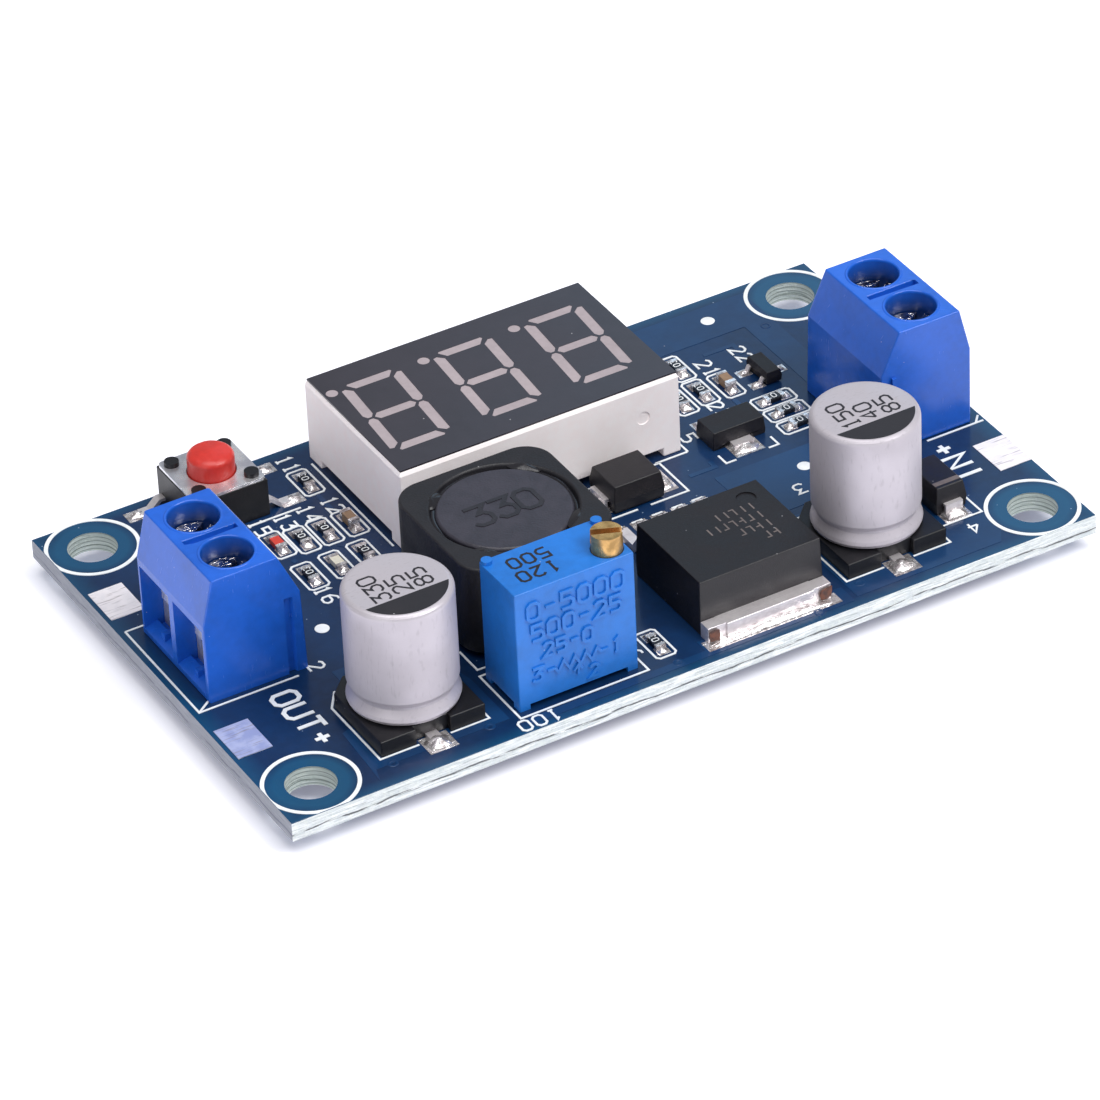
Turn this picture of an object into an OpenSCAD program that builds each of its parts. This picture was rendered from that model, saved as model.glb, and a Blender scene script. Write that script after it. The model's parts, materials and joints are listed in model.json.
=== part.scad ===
// Step-down converter module with a voltmeter display and two screw terminals.
// The origin is the centre of the mounting hole pattern on the board's underside,
// +X points to the input terminal, +Y to the display edge and +Z out of the populated side.

/* [Board] */
// Board length between the two terminal edges
board_l = 66; // [65:0.5:70]
// Board width between the trimmer edge and the display edge
board_w = 39.8; // [39.4:0.2:44]
// Board thickness
board_t = 1.6; // [1.2:0.1:2.4]
// Mounting hole diameter
hole_d = 3.7; // [3.2:0.1:4.0]
// Mounting hole centre from both board edges
hole_inset = 3.3; // [3.1:0.1:3.6]
// Bare wire pad size across the edge
pad_w = 2.7; // [2.2:0.1:3.2]
// Bare wire pad size along the edge
pad_l = 3.75; // [3:0.25:4.5]
// Bare wire pad centre from the board's long centre line
pad_y = 9.65; // [9.4:0.1:10.2]
// Gap between the output pads and their edge
pad_inset = 0.35; // [0.2:0.05:0.8]
// Thickness of the tinned copper on the bare pads
pad_t = 0.05; // [0.03:0.01:0.1]
// Length of every through pin below the board
pin_out = 1.4; // [1:0.1:2]
// Height of the solder cone round each pin
solder_h = 0.7; // [0.4:0.1:0.9]
// Width of the solder ring round each pin
solder_rim = 0.5; // [0.3:0.05:0.7]
// Width of the solder cone's tip round each pin
solder_tip = 0.1; // [0.05:0.05:0.2]
// Clearance of the drilled holes round the pins
drill_gap = 0.25; // [0.2:0.05:0.35]

/* [Layout] */
// Gap from the output end of the board to the output capacitor
end_cap_gap = 8.75; // [8.6:0.05:9]
// Gap between the output capacitor and the trimmer
cap_trim_gap = 2.3; // [2:0.05:2.6]
// Gap between the trimmer and the regulator
trim_reg_gap = 5.55; // [5.2:0.05:6]
// Gap between the regulator and the input capacitor
reg_cap_gap = 2.15; // [1.9:0.05:2.4]
// Gap between the input capacitor and the input diode
cap_diode_gap = 1.07; // [0.9:0.01:1.2]
// Gap from the input diode to the input end of the board
diode_end_gap = 7.13; // [7:0.01:7.3]
// Gap from the output end of the board to the push button
end_btn_gap = 8.05; // [7.8:0.05:8.2]
// Gap between the push button and the display
btn_disp_gap = 3.87; // [3.6:0.01:4.1]
// Gap between the display and the three-lead reference
disp_ref_gap = 9.06; // [8.8:0.01:9.3]
// Gap from the reference to the input end of the board
ref_end_gap = 9.27; // [9:0.01:9.5]
// Gap between the output terminal and the inductor
term_ind_gap = 9.9; // [9.5:0.05:10.2]
// Gap between the inductor and the output diode
ind_diode_gap = 4.8; // [4.4:0.05:5.2]
// Gap between the output diode and the input terminal
diode_term_gap = 15.45; // [15:0.05:16]
// Gap between the display and the small regulator
disp_sot_gap = 1.88; // [1.7:0.01:2]
// Gap between the small regulator and the chip column
sot_chip_gap = 1.95; // [1.8:0.01:2.1]
// Gap between the chip column and the input terminal
chip_term_gap = 1.85; // [1.7:0.01:2]
// Gap in front of the trimmer
front_trim_gap = 2.3; // [2.2:0.05:2.6]
// Gap between the trimmer and the inductor
trim_ind_gap = 1.35; // [1.2:0.05:1.5]
// Gap between the inductor and the display
ind_disp_gap = 2.62; // [2.4:0.01:2.8]
// Gap behind the display
disp_back_gap = 1.93; // [1.8:0.01:2.2]
// Gap in front of the regulator's heat tab
front_tab_gap = 1.85; // [1.6:0.05:2]
// Gap between the regulator's leads and the output diode
lead_diode_gap = 2.25; // [2:0.05:2.5]
// Gap between the output diode and the display
diode_disp_gap = 0.77; // [0.6:0.01:0.9]
// Capacitor centres from the board's front edge
cap_inset = 7.2; // [7:0.1:7.5]
// Input diode centre from the board's front edge
in_diode_inset = 8.2; // [8:0.05:8.4]
// Push button centre from the board's back edge
btn_inset = 3.8; // [3.7:0.05:4.1]
// Small regulator centre from the board's long centre line
sot_y = 3.35; // [3.2:0.05:3.5]
// Middle of the chip column from the board's long centre line
column_y = 3.6; // [3.4:0.05:3.8]
// Pitch of the chip column
column_pitch = 1.85; // [1.8:0.05:2]
// Gap between the chip column and the reference
column_ref_gap = 1.35; // [1.2:0.05:1.5]

/* [Screw terminals] */
// Distance between the two poles
pole_pitch = 5.08; // [5:0.02:5.5]
// Depth of the housing, from the wire side to the back
term_d = 7.9; // [7.4:0.1:8.6]
// Height of the housing above the board
term_h = 10.2; // [9.8:0.1:12]
// Width of the flat top
term_top = 5.2; // [4.8:0.1:5.4]
// Height where the wire side starts to lean in
term_lean_z = 6.6; // [6.2:0.1:7.5]
// How far the wire side leans in at the top
term_lean = 0.9; // [0.6:0.1:1.2]
// Height where the back starts to lean in
term_back_z = 6.7; // [6:0.1:8]
// Draft of the lower back wall
term_draft = 0.2; // [0.1:0.05:0.3]
// Diameter of the screwdriver wells
well_d = 3.8; // [3.6:0.1:4]
// Width of each wire mouth
mouth_w = 4.4; // [4.2:0.1:4.6]
// Height of the top of each wire mouth
mouth_h = 6.0; // [5.6:0.1:6.1]
// Height of the sill under each wire
sill_h = 0.9; // [0.5:0.1:1.1]
// Height of the guide rib that stands on the sill
sill_rib = 0.35; // [0.2:0.05:0.5]
// Thickness of the housing floor under the clamps
term_floor = 0.45; // [0.3:0.05:0.6]
// Depth of the wire mouth in front of the clamp
mouth_d = 1.6; // [1.5:0.05:1.7]
// Length of the clamp cage along the wire
cage_l = 4.9; // [4.6:0.1:5.1]
// Wall of the clamp cage
cage_wall = 0.75; // [0.6:0.05:0.9]
// Thickness of the threaded top of the cage
nut_t = 1.1; // [0.9:0.1:1.3]
// Clamp screw diameter
screw_d = 2.5; // [2.3:0.1:2.7]
// Height of the clamp screw head
head_h = 1.6; // [1.3:0.1:1.7]
// Screw head top below the housing top with the clamp open
screw_sink = 1.75; // [1.6:0.05:2]
// Travel of the screw and its wire guard
screw_travel = 1.8; // [1.5:0.1:1.8]
// Slot width in the clamp screws
slot_w = 0.6; // [0.5:0.05:0.7]
// Slot depth in the clamp screws
slot_d = 0.8; // [0.5:0.1:1]
// Thickness of the sheet metal wire guard
guard_t = 0.4; // [0.3:0.05:0.45]
// Height of the wire guard's upright in front of the cage
guard_h = 2.6; // [2:0.1:2.6]
// Diameter of the terminal pins
term_pin_d = 1.0; // [0.8:0.1:1.2]
// Width of the dovetail that locks housings side by side
dove_w = 0.7; // [0.5:0.05:0.9]
// Depth of the dovetail
dove_d = 0.25; // [0.2:0.05:0.4]
// Height of the dovetail
dove_h = 6.5; // [5.5:0.1:6.8]
// Dovetail centre from the back of the housing
dove_inset = 1.2; // [1.2:0.1:2]
// Width and depth of the groove between the wells
groove_w = 0.55; // [0.4:0.05:0.7]
// Length of the groove between the wells
groove_l = 4.2; // [3.6:0.1:4.6]
// Width of the guide rib
rib_w = 0.5; // [0.3:0.05:0.8]
// Gap between the open wire guard and the top of the cage
guard_top_gap = 0.15; // [0.1:0.05:0.2]
// Gap under the wire guard when it is fully down
guard_low_gap = 0.2; // [0.15:0.05:0.25]
// Turn of the screw slots
slot_turn = 35; // [0:5:85]
// Output housing wire side from the board edge
out_term_inset = 1.65; // [1.4:0.05:2]
// Input housing wire side from the board edge
in_term_inset = 1.1; // [0.7:0.05:1.3]
// Output housing centre from the board's long centre line
out_term_y = 0.3; // [-0.2:0.05:0.6]
// Input housing centre from the board's long centre line
in_term_y = 0; // [-0.5:0.05:0.4]

/* [Trimmer] */
// Length of the trimmer case along the board edge
trim_l = 9.6; // [9.4:0.1:10]
// Width of the trimmer case
trim_w = 4.9; // [4.8:0.1:5.2]
// Height of the trimmer case
trim_h = 10; // [9.6:0.1:11]
// Case wall
trim_wall = 0.55; // [0.45:0.05:0.6]
// Roof of the case
trim_roof = 1.2; // [1:0.1:1.6]
// Height of the arch between the feet
trim_foot_h = 0.4; // [0.3:0.05:0.6]
// Width of each foot
trim_foot_w = 0.85; // [0.6:0.05:1.1]
// Adjusting screw head diameter
trim_head_d = 2.3; // [2:0.1:2.3]
// Adjusting screw head above the case
trim_head_h = 1.5; // [1.2:0.1:2]
// Adjusting screw centre from the end of the case
trim_screw_end = 1.35; // [1.35:0.05:1.5]
// Adjusting screw centre from the front of the case
trim_screw_front = 1.4; // [1.35:0.05:1.5]
// Worm diameter on the adjusting screw
worm_d = 1.5; // [1.2:0.1:1.5]
// Teeth on the wiper wheel
wheel_teeth = 30; // [24:1:36]
// Outer radius of the wiper wheel
wheel_r = 2.6; // [2.2:0.1:2.8]
// Thickness of the wiper wheel
wheel_t = 0.9; // [0.7:0.1:1]
// Diameter of the wheel's pivot
wheel_pivot = 1; // [0.8:0.1:1.2]
// Thickness of the ceramic resistance plate
plate_t = 0.6; // [0.5:0.05:0.7]
// Diameter of the trimmer pins
trim_pin_d = 0.5; // [0.4:0.05:0.6]
// Pitch of the trimmer pins
trim_pin_pitch = 2.54; // [2.4:0.02:2.6]
// Length of the pins along the resistance plate
trim_pin_in = 1.2; // [0.8:0.1:1.6]
// Diameter of the nubs on the case
nub_d = 0.8; // [0.6:0.1:1]
// Height of the nubs
nub_h = 0.3; // [0.2:0.05:0.4]
// Thickness of the base that closes the case
trim_base_t = 1; // [0.8:0.1:1.2]
// Slot width in the adjusting screw
trim_slot_w = 0.6; // [0.4:0.05:0.6]
// Slot depth in the adjusting screw
trim_slot_d = 0.8; // [0.6:0.1:1]
// Turn of the adjusting screw's slot
trim_slot_turn = 156; // [0:1:179]
// Depth of the worm's thread
worm_depth = 0.15; // [0.1:0.05:0.2]
// Length of the adjusting screw's foot in the base
worm_foot = 0.5; // [0.4:0.05:0.6]
// Height of the wheel's teeth
tooth_h = 0.25; // [0.2:0.05:0.3]
// Diameter of the wiper on the wheel
wiper_d = 2.4; // [2:0.1:3]
// Thickness of the wiper
wiper_t = 0.35; // [0.25:0.05:0.4]
// Gap between the wiper and the resistance plate
wiper_gap = 0.1; // [0.05:0.05:0.15]
// Gap round the resistance plate
plate_gap = 0.3; // [0.2:0.05:0.5]

/* [Display] */
// Length of the display case
disp_l = 23.3; // [22.8:0.1:23.6]
// Width of the display case
disp_w = 14.4; // [14:0.1:14.6]
// Height of the display face above the board
disp_h = 7; // [6.6:0.1:8]
// Height of the corner feet
disp_foot_h = 0.7; // [0.6:0.05:1]
// Length of the corner feet
disp_foot_l = 1.5; // [1:0.1:1.8]
// Width of the corner feet
disp_foot_w = 1.9; // [1.4:0.1:2.2]
// Wall of the display case
disp_wall = 1; // [0.8:0.1:1.2]
// Inset of the light lip round the face
disp_lip = 0.15; // [0.1:0.05:0.3]
// Height of the light lip round the face
disp_lip_h = 0.45; // [0.3:0.05:0.6]
// Thickness of the dark face sheet
face_t = 0.12; // [0.08:0.02:0.2]
// Thickness of the light emitter board inside the case
emitter_t = 0.8; // [0.6:0.1:1]
// Space between the main board and the emitter board
emitter_z = 1.75; // [1.6:0.05:2]
// Digit height
digit_h = 9.5; // [9:0.1:9.8]
// Digit width between the middles of the upright bars
digit_w = 4.15; // [3.9:0.05:4.3]
// Distance between digits
digit_pitch = 7.65; // [7.5:0.05:7.7]
// Width of the bars
bar_w = 0.82; // [0.7:0.02:0.9]
// Gap between bars
bar_gap = 0.2; // [0.12:0.02:0.26]
// Sideways lean of the digits for each mm of height
digit_lean = 0.07; // [0.03:0.01:0.1]
// Diameter of the point lights
point_d = 0.92; // [0.7:0.02:1]
// Point centre from the middle of its digit
point_x = 3.2; // [3.15:0.02:3.3]
// Shift of the digits from the middle of the case
digit_off = -0.3; // [-0.35:0.05:0]
// Diameter of the display pins
disp_pin_d = 0.5; // [0.4:0.05:0.6]
// Pitch of the display pins
disp_pin_pitch = 2.54; // [2.4:0.02:2.6]
// Distance between the two rows of display pins
disp_pin_rows = 10.16; // [10:0.02:10.4]
// Display pins in each row
disp_pins = 6; // [5:1:7]
// Diameter of the dimple in the front wall
disp_dimple_d = 1.1; // [0.8:0.1:1.4]
// Depth of the dimple
disp_dimple_t = 0.08; // [0.05:0.01:0.15]
// Dimple centre from the end of the case
disp_dimple_x = 3.1; // [2.4:0.1:4]

/* [Inductor] */
// Side of the square ferrite shield
ind_s = 12.3; // [12:0.1:12.5]
// Height of the inductor
ind_h = 7.8; // [7:0.1:8.4]
// Corner radius of the shield
ind_corner = 2.3; // [1.8:0.1:2.6]
// Bore of the shield
ind_bore = 10.6; // [10.4:0.1:10.8]
// Diameter of the drum core's flanges
drum_d = 9.9; // [9.6:0.1:10.1]
// Thickness of the drum's flanges
flange_t = 1.3; // [1:0.1:1.6]
// Diameter of the drum's post
post_d = 4.6; // [4:0.1:5]
// Diameter of the winding wire
wire_d = 0.6; // [0.5:0.05:0.7]
// Layers of the winding
wire_layers = 3; // [2:1:3]
// Thickness of the base plate and of the terminals' clip under it
ind_base_t = 0.5; // [0.4:0.05:0.7]
// Width of the inductor's terminals
ind_clip_w = 3; // [2:0.2:4]
// Thickness of the terminal strip
ind_clip_t = 0.25; // [0.15:0.05:0.3]
// Height of the terminals up the shield
ind_clip_h = 1.6; // [1.2:0.1:2]
// Length of the terminals under the shield
ind_clip_in = 2.4; // [2:0.1:2.6]
// Top of the drum core below the shield's top
drum_sink = 0.1; // [0.05:0.05:0.2]
// Chamfer round the drum's top
drum_edge = 0.15; // [0.1:0.05:0.25]

/* [Regulator] */
// Width of the regulator body
reg_w = 10.2; // [9.8:0.1:10.4]
// Length of the regulator body
reg_l = 8.9; // [8.6:0.1:9.2]
// Height of the regulator body
reg_h = 4.5; // [4.2:0.1:4.8]
// Thickness of the heat tab
tab_t = 1.27; // [1.1:0.05:1.4]
// Length of the heat tab in front of the body
tab_out = 1.2; // [1:0.1:1.6]
// Length of the sheared ends of the tab's front edge
tab_cut = 1.5; // [1:0.1:2]
// How far the sheared ends stand back
tab_step = 0.15; // [0.1:0.05:0.3]
// Length of the tab's neck in the body
tab_neck_l = 6.4; // [5:0.2:7]
// Width of the tab's neck
tab_neck_w = 7.8; // [7:0.1:8.4]
// Draft of the regulator body
reg_draft = 0.12; // [0.05:0.01:0.3]
// Pitch of the regulator leads
reg_pitch = 1.7; // [1.6:0.02:1.75]
// Width of the regulator leads
reg_lead_w = 0.8; // [0.7:0.05:0.9]
// Reach of the regulator leads behind the body
reg_lead_out = 4.8; // [4.4:0.1:5]
// Thickness of the regulator leads
reg_lead_t = 0.5; // [0.4:0.05:0.55]
// Height of the leads where they leave the body
reg_lead_z = 2.2; // [2:0.1:2.4]
// Length of the leads in the body
reg_lead_in = 0.8; // [0.6:0.1:1.2]
// Length of the leads' feet
reg_foot_l = 2.4; // [2:0.1:2.8]
// Diameter of the moulded dimple on the regulator
dimple_d = 1.5; // [1.2:0.1:1.8]
// Dimple centre from the body's side
dimple_x = 1.9; // [1.6:0.1:2.4]
// Dimple centre from the body's back
dimple_y = 1.7; // [1.4:0.1:2.2]
// Depth of the dimple
dimple_t = 0.1; // [0.05:0.01:0.15]

/* [Capacitors] */
// Diameter of the capacitor cans
can_d = 8; // [7.6:0.1:8.2]
// Height of the top of the cans above the board
can_h = 10.7; // [9.5:0.1:11.5]
// Radius of the can's top edge
can_edge = 0.45; // [0.3:0.05:0.6]
// Depth of the rolled neck
neck_d = 0.3; // [0.2:0.05:0.4]
// Height of the neck above the base
neck_z = 1.35; // [1.1:0.05:1.6]
// Width of the neck's floor
neck_w = 0.2; // [0.1:0.05:0.3]
// Height of the slope above the neck
neck_slope = 0.5; // [0.3:0.05:0.6]
// How far the rim under the neck stands out
can_rim = 0.08; // [0.04:0.01:0.12]
// Height of the rim's edge above the base
rim_z = 0.42; // [0.35:0.01:0.5]
// Inset of the can's foot
can_foot = 0.35; // [0.2:0.05:0.5]
// Side of the plastic base
base_s = 8.3; // [8.2:0.05:8.6]
// Thickness of the plastic base
base_t = 1.3; // [1.1:0.05:1.5]
// Cut across the two corners of the base on the positive side
base_cut = 1.5; // [1.2:0.1:1.8]
// Width of the notch round each lead
base_notch_w = 2.7; // [2.2:0.1:3]
// Depth of the notch round each lead
base_notch = 0.45; // [0.3:0.05:0.6]
// Width of the flat leads
cap_lead_w = 0.9; // [0.7:0.05:1]
// Thickness of the flat leads
cap_lead_t = 0.3; // [0.2:0.05:0.4]
// Reach of the leads beyond the base
cap_lead_out = 0.55; // [0.4:0.05:0.8]
// Start of the leads from the middle of the base
cap_lead_mid = 0.8; // [0.6:0.1:1.2]

/* [Push button] */
// Side of the square switch base
btn_s = 6; // [5.8:0.1:6.2]
// Height of the switch base with its cover
btn_h = 3.4; // [3.2:0.1:3.8]
// Thickness of the steel cover
cover_t = 0.25; // [0.2:0.05:0.3]
// Diameter of the red cap
plunger_d = 3.5; // [3.2:0.1:3.6]
// Height of the cap's top above the board
plunger_h = 5.1; // [4.6:0.1:7]
// Chamfer round the cap's top
plunger_edge = 0.35; // [0.2:0.05:0.5]
// Height of the crown on the cap
cap_crown = 0.08; // [0.04:0.01:0.12]
// Width of the skirt round the cap's foot
skirt_rim = 0.35; // [0.25:0.05:0.4]
// Thickness of the skirt
skirt_t = 0.6; // [0.5:0.05:0.7]
// Floor of the switch base
btn_floor = 1.1; // [1:0.05:1.2]
// Inset of the cover from the base's sides
cover_inset = 0.05; // [0.03:0.01:0.1]
// Corner radius of the cover
cover_corner = 0.4; // [0.2:0.1:0.6]
// Thickness of the snap dome
dome_t = 0.1; // [0.08:0.01:0.12]
// Clearance round the snap dome
dome_gap = 0.1; // [0.08:0.01:0.15]
// Travel of the cap
btn_travel = 0.25; // [0.2:0.05:0.3]
// Distance between the corner studs
stud_pitch = 4.3; // [4.2:0.05:4.4]
// Diameter of the corner studs
stud_d = 1.1; // [0.8:0.05:1.2]
// Height of the corner studs above the cover
stud_h = 0.35; // [0.2:0.05:0.5]
// Width of the switch leads
btn_lead_w = 0.7; // [0.6:0.05:0.8]
// Distance between the leads on one side
btn_lead_pitch = 4.5; // [4.3:0.1:4.6]
// Reach of the leads beyond the base
btn_lead_out = 2; // [1.6:0.1:2.2]
// Thickness of the switch leads
btn_lead_t = 0.25; // [0.2:0.05:0.3]
// Height of the leads where they leave the base
btn_lead_z = 0.7; // [0.6:0.05:0.8]
// Length of the leads in the base
btn_lead_in = 0.6; // [0.4:0.1:0.8]
// Length of the leads' feet
btn_foot_l = 0.9; // [0.7:0.1:1]

/* [Small parts] */
// Body length of the input diode
in_diode_l = 4.3; // [4.1:0.1:4.5]
// Body width of the input diode
in_diode_w = 2.65; // [2.5:0.05:2.8]
// Body length of the output diode
out_diode_l = 4.3; // [4.1:0.1:4.5]
// Body width of the output diode
out_diode_w = 3.7; // [3.5:0.1:3.9]
// Height of both diodes
diode_h = 2.3; // [2:0.1:2.5]
// Thickness of the diode straps
strap_t = 0.25; // [0.2:0.05:0.3]
// Reach of the diode straps beyond the body
strap_out = 0.35; // [0.3:0.05:0.5]
// Length of the straps in the body
strap_in = 0.5; // [0.3:0.05:0.6]
// Length of the straps under the body
strap_foot = 0.8; // [0.6:0.05:1]
// Draft of the diode bodies
diode_draft = 0.2; // [0.1:0.05:0.3]
// Gap between the small bodies and the board
small_lift = 0.1; // [0.05:0.01:0.12]
// Draft of the small bodies
small_draft = 0.1; // [0.05:0.01:0.15]
// Length of the small leads in their bodies
small_lead_in = 0.3; // [0.2:0.05:0.4]
// Small regulator length
sot_l = 4.5; // [4.3:0.1:4.6]
// Small regulator width
sot_w = 2.5; // [2.3:0.1:2.6]
// Small regulator height
sot_h = 1.5; // [1.4:0.1:1.6]
// Pitch of the small regulator's leads
sot_pitch = 1.5; // [1.4:0.05:1.55]
// Width of the small regulator's leads
sot_lead_w = 0.48; // [0.4:0.02:0.55]
// Thickness of the small regulator's leads
sot_lead_t = 0.4; // [0.35:0.01:0.45]
// Reach of the small regulator's leads
sot_lead_out = 0.95; // [0.8:0.05:1.1]
// Reach of the small regulator's tab
sot_tab_out = 0.7; // [0.5:0.05:0.9]
// Width of the small regulator's tab
sot_tab_w = 1.7; // [1.5:0.05:1.8]
// Length of the small regulator's tab in the body
sot_tab_in = 1.8; // [1.4:0.1:2]
// Three-lead reference body length
ref_l = 2.9; // [2.7:0.1:3]
// Three-lead reference body width
ref_w = 1.35; // [1.2:0.05:1.5]
// Three-lead reference height
ref_h = 1.1; // [1:0.05:1.2]
// Distance between the reference's two leads on one side
ref_pitch = 1.9; // [1.8:0.05:2]
// Width of the reference's leads
ref_lead_w = 0.4; // [0.35:0.01:0.45]
// Thickness of the reference's leads
ref_lead_t = 0.12; // [0.1:0.01:0.15]
// Reach of the reference's leads
ref_lead_out = 0.55; // [0.5:0.01:0.6]
// Controller body length
mcu_l = 6.5; // [6.3:0.1:6.7]
// Controller body width
mcu_w = 4.4; // [4.2:0.1:4.5]
// Controller height
mcu_h = 1.1; // [0.9:0.05:1.2]
// Controller lead pitch
mcu_pitch = 0.65; // [0.6:0.01:0.66]
// Leads on each side of the controller
mcu_leads = 10; // [8:1:10]
// Width of the controller's leads
mcu_lead_w = 0.25; // [0.2:0.01:0.3]
// Thickness of the controller's leads
mcu_lead_t = 0.13; // [0.1:0.01:0.15]
// Reach of the controller's leads
mcu_lead_out = 1; // [0.9:0.05:1.1]
// Chip part length
chip_l = 1.6; // [1.5:0.05:1.7]
// Chip part width
chip_w = 0.8; // [0.7:0.05:0.9]
// Height of the chip resistors
chip_res_h = 0.45; // [0.4:0.05:0.55]
// Height of the chip capacitors
chip_cap_h = 0.8; // [0.6:0.05:0.9]
// Height of the indicator lights
chip_led_h = 0.5; // [0.4:0.05:0.6]
// Length of the plated ends of the chip parts
chip_end = 0.32; // [0.25:0.01:0.4]
// Thickness of the plating on the chip parts
plating = 0.04; // [0.03:0.01:0.06]

/* [Fits] */
// Side clearance of pieces that slide
slide_gap = 0.05; // [0.03:0.01:0.06]
// Clearance of a shaft in its bore
shaft_gap = 0.05; // [0.03:0.01:0.06]
// Clearance of screw heads and caps in their wells
well_gap = 0.1; // [0.08:0.01:0.15]

/* [Hidden] */
$fn = 48;
eps = 0.02;

// Middle of part i in a row of parts; the gaps share what the parts leave free
function upto(v, n) = n < 0 ? 0 : v[n] + upto(v, n - 1);
function row(i, from, to, sizes, gaps) =
    let (free = to - from - upto(sizes, len(sizes) - 1))
    from + upto(sizes, i - 1) + sizes[i]/2 + free*upto(gaps, i)/upto(gaps, len(sizes));

// Places on the board
hole_x = board_l/2 - hole_inset;
hole_y = board_w/2 - hole_inset;
front = -board_w/2;
back = board_w/2;
out_term_x = -board_l/2 + out_term_inset;
in_term_x = board_l/2 - in_term_inset;

// Front row along the board: output capacitor, trimmer, regulator, input capacitor, input diode
front_sizes = [base_s, trim_l, reg_w, base_s, in_diode_w];
front_gaps = [
    end_cap_gap, cap_trim_gap, trim_reg_gap, reg_cap_gap, cap_diode_gap, diode_end_gap
];
out_cap_x = row(0, -board_l/2, board_l/2, front_sizes, front_gaps);
trim_x = row(1, -board_l/2, board_l/2, front_sizes, front_gaps);
reg_x = row(2, -board_l/2, board_l/2, front_sizes, front_gaps);
in_cap_x = row(3, -board_l/2, board_l/2, front_sizes, front_gaps);
in_diode_x = row(4, -board_l/2, board_l/2, front_sizes, front_gaps);
cap_y = front + cap_inset;
in_diode_y = front + in_diode_inset;

// Back row: push button, display, reference
back_sizes = [btn_s + 2*btn_lead_out, disp_l, ref_w + 2*ref_lead_out];
back_gaps = [end_btn_gap, btn_disp_gap, disp_ref_gap, ref_end_gap];
btn_x = row(0, -board_l/2, board_l/2, back_sizes, back_gaps);
disp_x = row(1, -board_l/2, board_l/2, back_sizes, back_gaps);
ref_x = row(2, -board_l/2, board_l/2, back_sizes, back_gaps);
btn_y = back - btn_inset;

// Middle row between the terminals: inductor, output diode
term_back_l = out_term_x + term_d;
term_back_r = in_term_x - term_d;
mid_sizes = [ind_s, out_diode_l + 2*strap_out];
mid_gaps = [term_ind_gap, ind_diode_gap, diode_term_gap];
ind_x = row(0, term_back_l, term_back_r, mid_sizes, mid_gaps);
out_diode_x = row(1, term_back_l, term_back_r, mid_sizes, mid_gaps);

// Columns across the board: trimmer, inductor, display; then regulator and output diode
column_sizes = [trim_w, ind_s, disp_w];
column_gaps = [front_trim_gap, trim_ind_gap, ind_disp_gap, disp_back_gap];
trim_y = row(0, front, back, column_sizes, column_gaps);
ind_y = row(1, front, back, column_sizes, column_gaps);
disp_y = row(2, front, back, column_sizes, column_gaps);
disp_front = disp_y - disp_w/2;
reg_sizes = [tab_out + reg_l + reg_lead_out, out_diode_w];
reg_gaps = [front_tab_gap, lead_diode_gap, diode_disp_gap];
reg_y = row(0, front, disp_front, reg_sizes, reg_gaps) + (tab_out - reg_lead_out)/2;
out_diode_y = row(1, front, disp_front, reg_sizes, reg_gaps);

// Small regulator and chip column between the display and the input terminal
disp_left = disp_x - disp_l/2;
disp_right = disp_x + disp_l/2;
sot_sizes = [sot_l, chip_l];
sot_gaps = [disp_sot_gap, sot_chip_gap, chip_term_gap];
sot_x = row(0, disp_right, term_back_r, sot_sizes, sot_gaps);
column_x = row(1, disp_right, term_back_r, sot_sizes, sot_gaps);
ref_y = column_y + column_pitch + chip_w/2 + column_ref_gap + ref_l/2;

// Fields of chip parts, from one neighbour to the next along the board
out_field = [term_back_l, disp_left];
in_field = [disp_right, term_back_r];
trim_field = [trim_x + trim_l/2, reg_x - reg_w/2];

// A chip's place: its share of the way across the field and its share of the board's width
function chip_at(field, across, up) =
    [field[0] + across*(field[1] - field[0]), up*board_w, 90];
resistors = [
    chip_at(out_field, 0.853, 0.382), chip_at(out_field, 0.558, 0.226),
    chip_at(out_field, 0.711, 0.226), chip_at(out_field, 0.424, 0.119),
    chip_at(out_field, 0.804, 0.126), chip_at(trim_field, 0.432, -0.4),
    chip_at(in_field, 0.431, 0.231), chip_at(in_field, 0.44, 0.322),
    chip_at(in_field, 0.261, 0.224),
    for (i = [1:-1:-1]) [column_x, column_y + i*column_pitch, 0]
];
capacitors = [chip_at(out_field, 0.877, 0.225), chip_at(in_field, 0.61, 0.226)];
lights = [chip_at(out_field, 0.614, 0.123), chip_at(out_field, 0.412, 0.236)];

// Screw terminal, measured from the wire side and up from the board
term_l = 2*pole_pitch;
well_x = term_lean + term_top/2;
head_d = well_d - 2*well_gap;
head_top = term_h - screw_sink;
head_bottom = head_top - head_h;
cage_top = head_bottom - screw_travel - well_gap;
cage_ceiling = cage_top - nut_t;
guard_top = cage_ceiling - guard_top_gap;
guard_low = guard_top - guard_t;
cage_floor = guard_low - screw_travel - guard_low_gap;
cage_w = mouth_w - 2*slide_gap;
guard_w = cage_w - 2*cage_wall - 2*slide_gap;
chamber_d = mouth_d + cage_l + slide_gap;
chamber_top = cage_top + slide_gap;

// Trimmer, measured from the middle of its case
trim_in_l = trim_l - 2*trim_wall;
trim_in_w = trim_w - 2*trim_wall;
trim_floor = trim_foot_h + trim_base_t;
trim_sx = trim_l/2 - trim_screw_end;
trim_sy = -trim_w/2 + trim_screw_front;
wheel_x = trim_sx - worm_d/2 - shaft_gap - wheel_r;
wheel_z = (trim_floor + trim_h - trim_roof)/2;
worm_pitch = 2*PI*wheel_r/wheel_teeth;
plate_y = trim_sy + wheel_t/2 + wiper_t + wiper_gap;
worm_root_d = worm_d - 2*worm_depth;
trim_pin_y = plate_y + plate_t + trim_pin_d/2;

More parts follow.
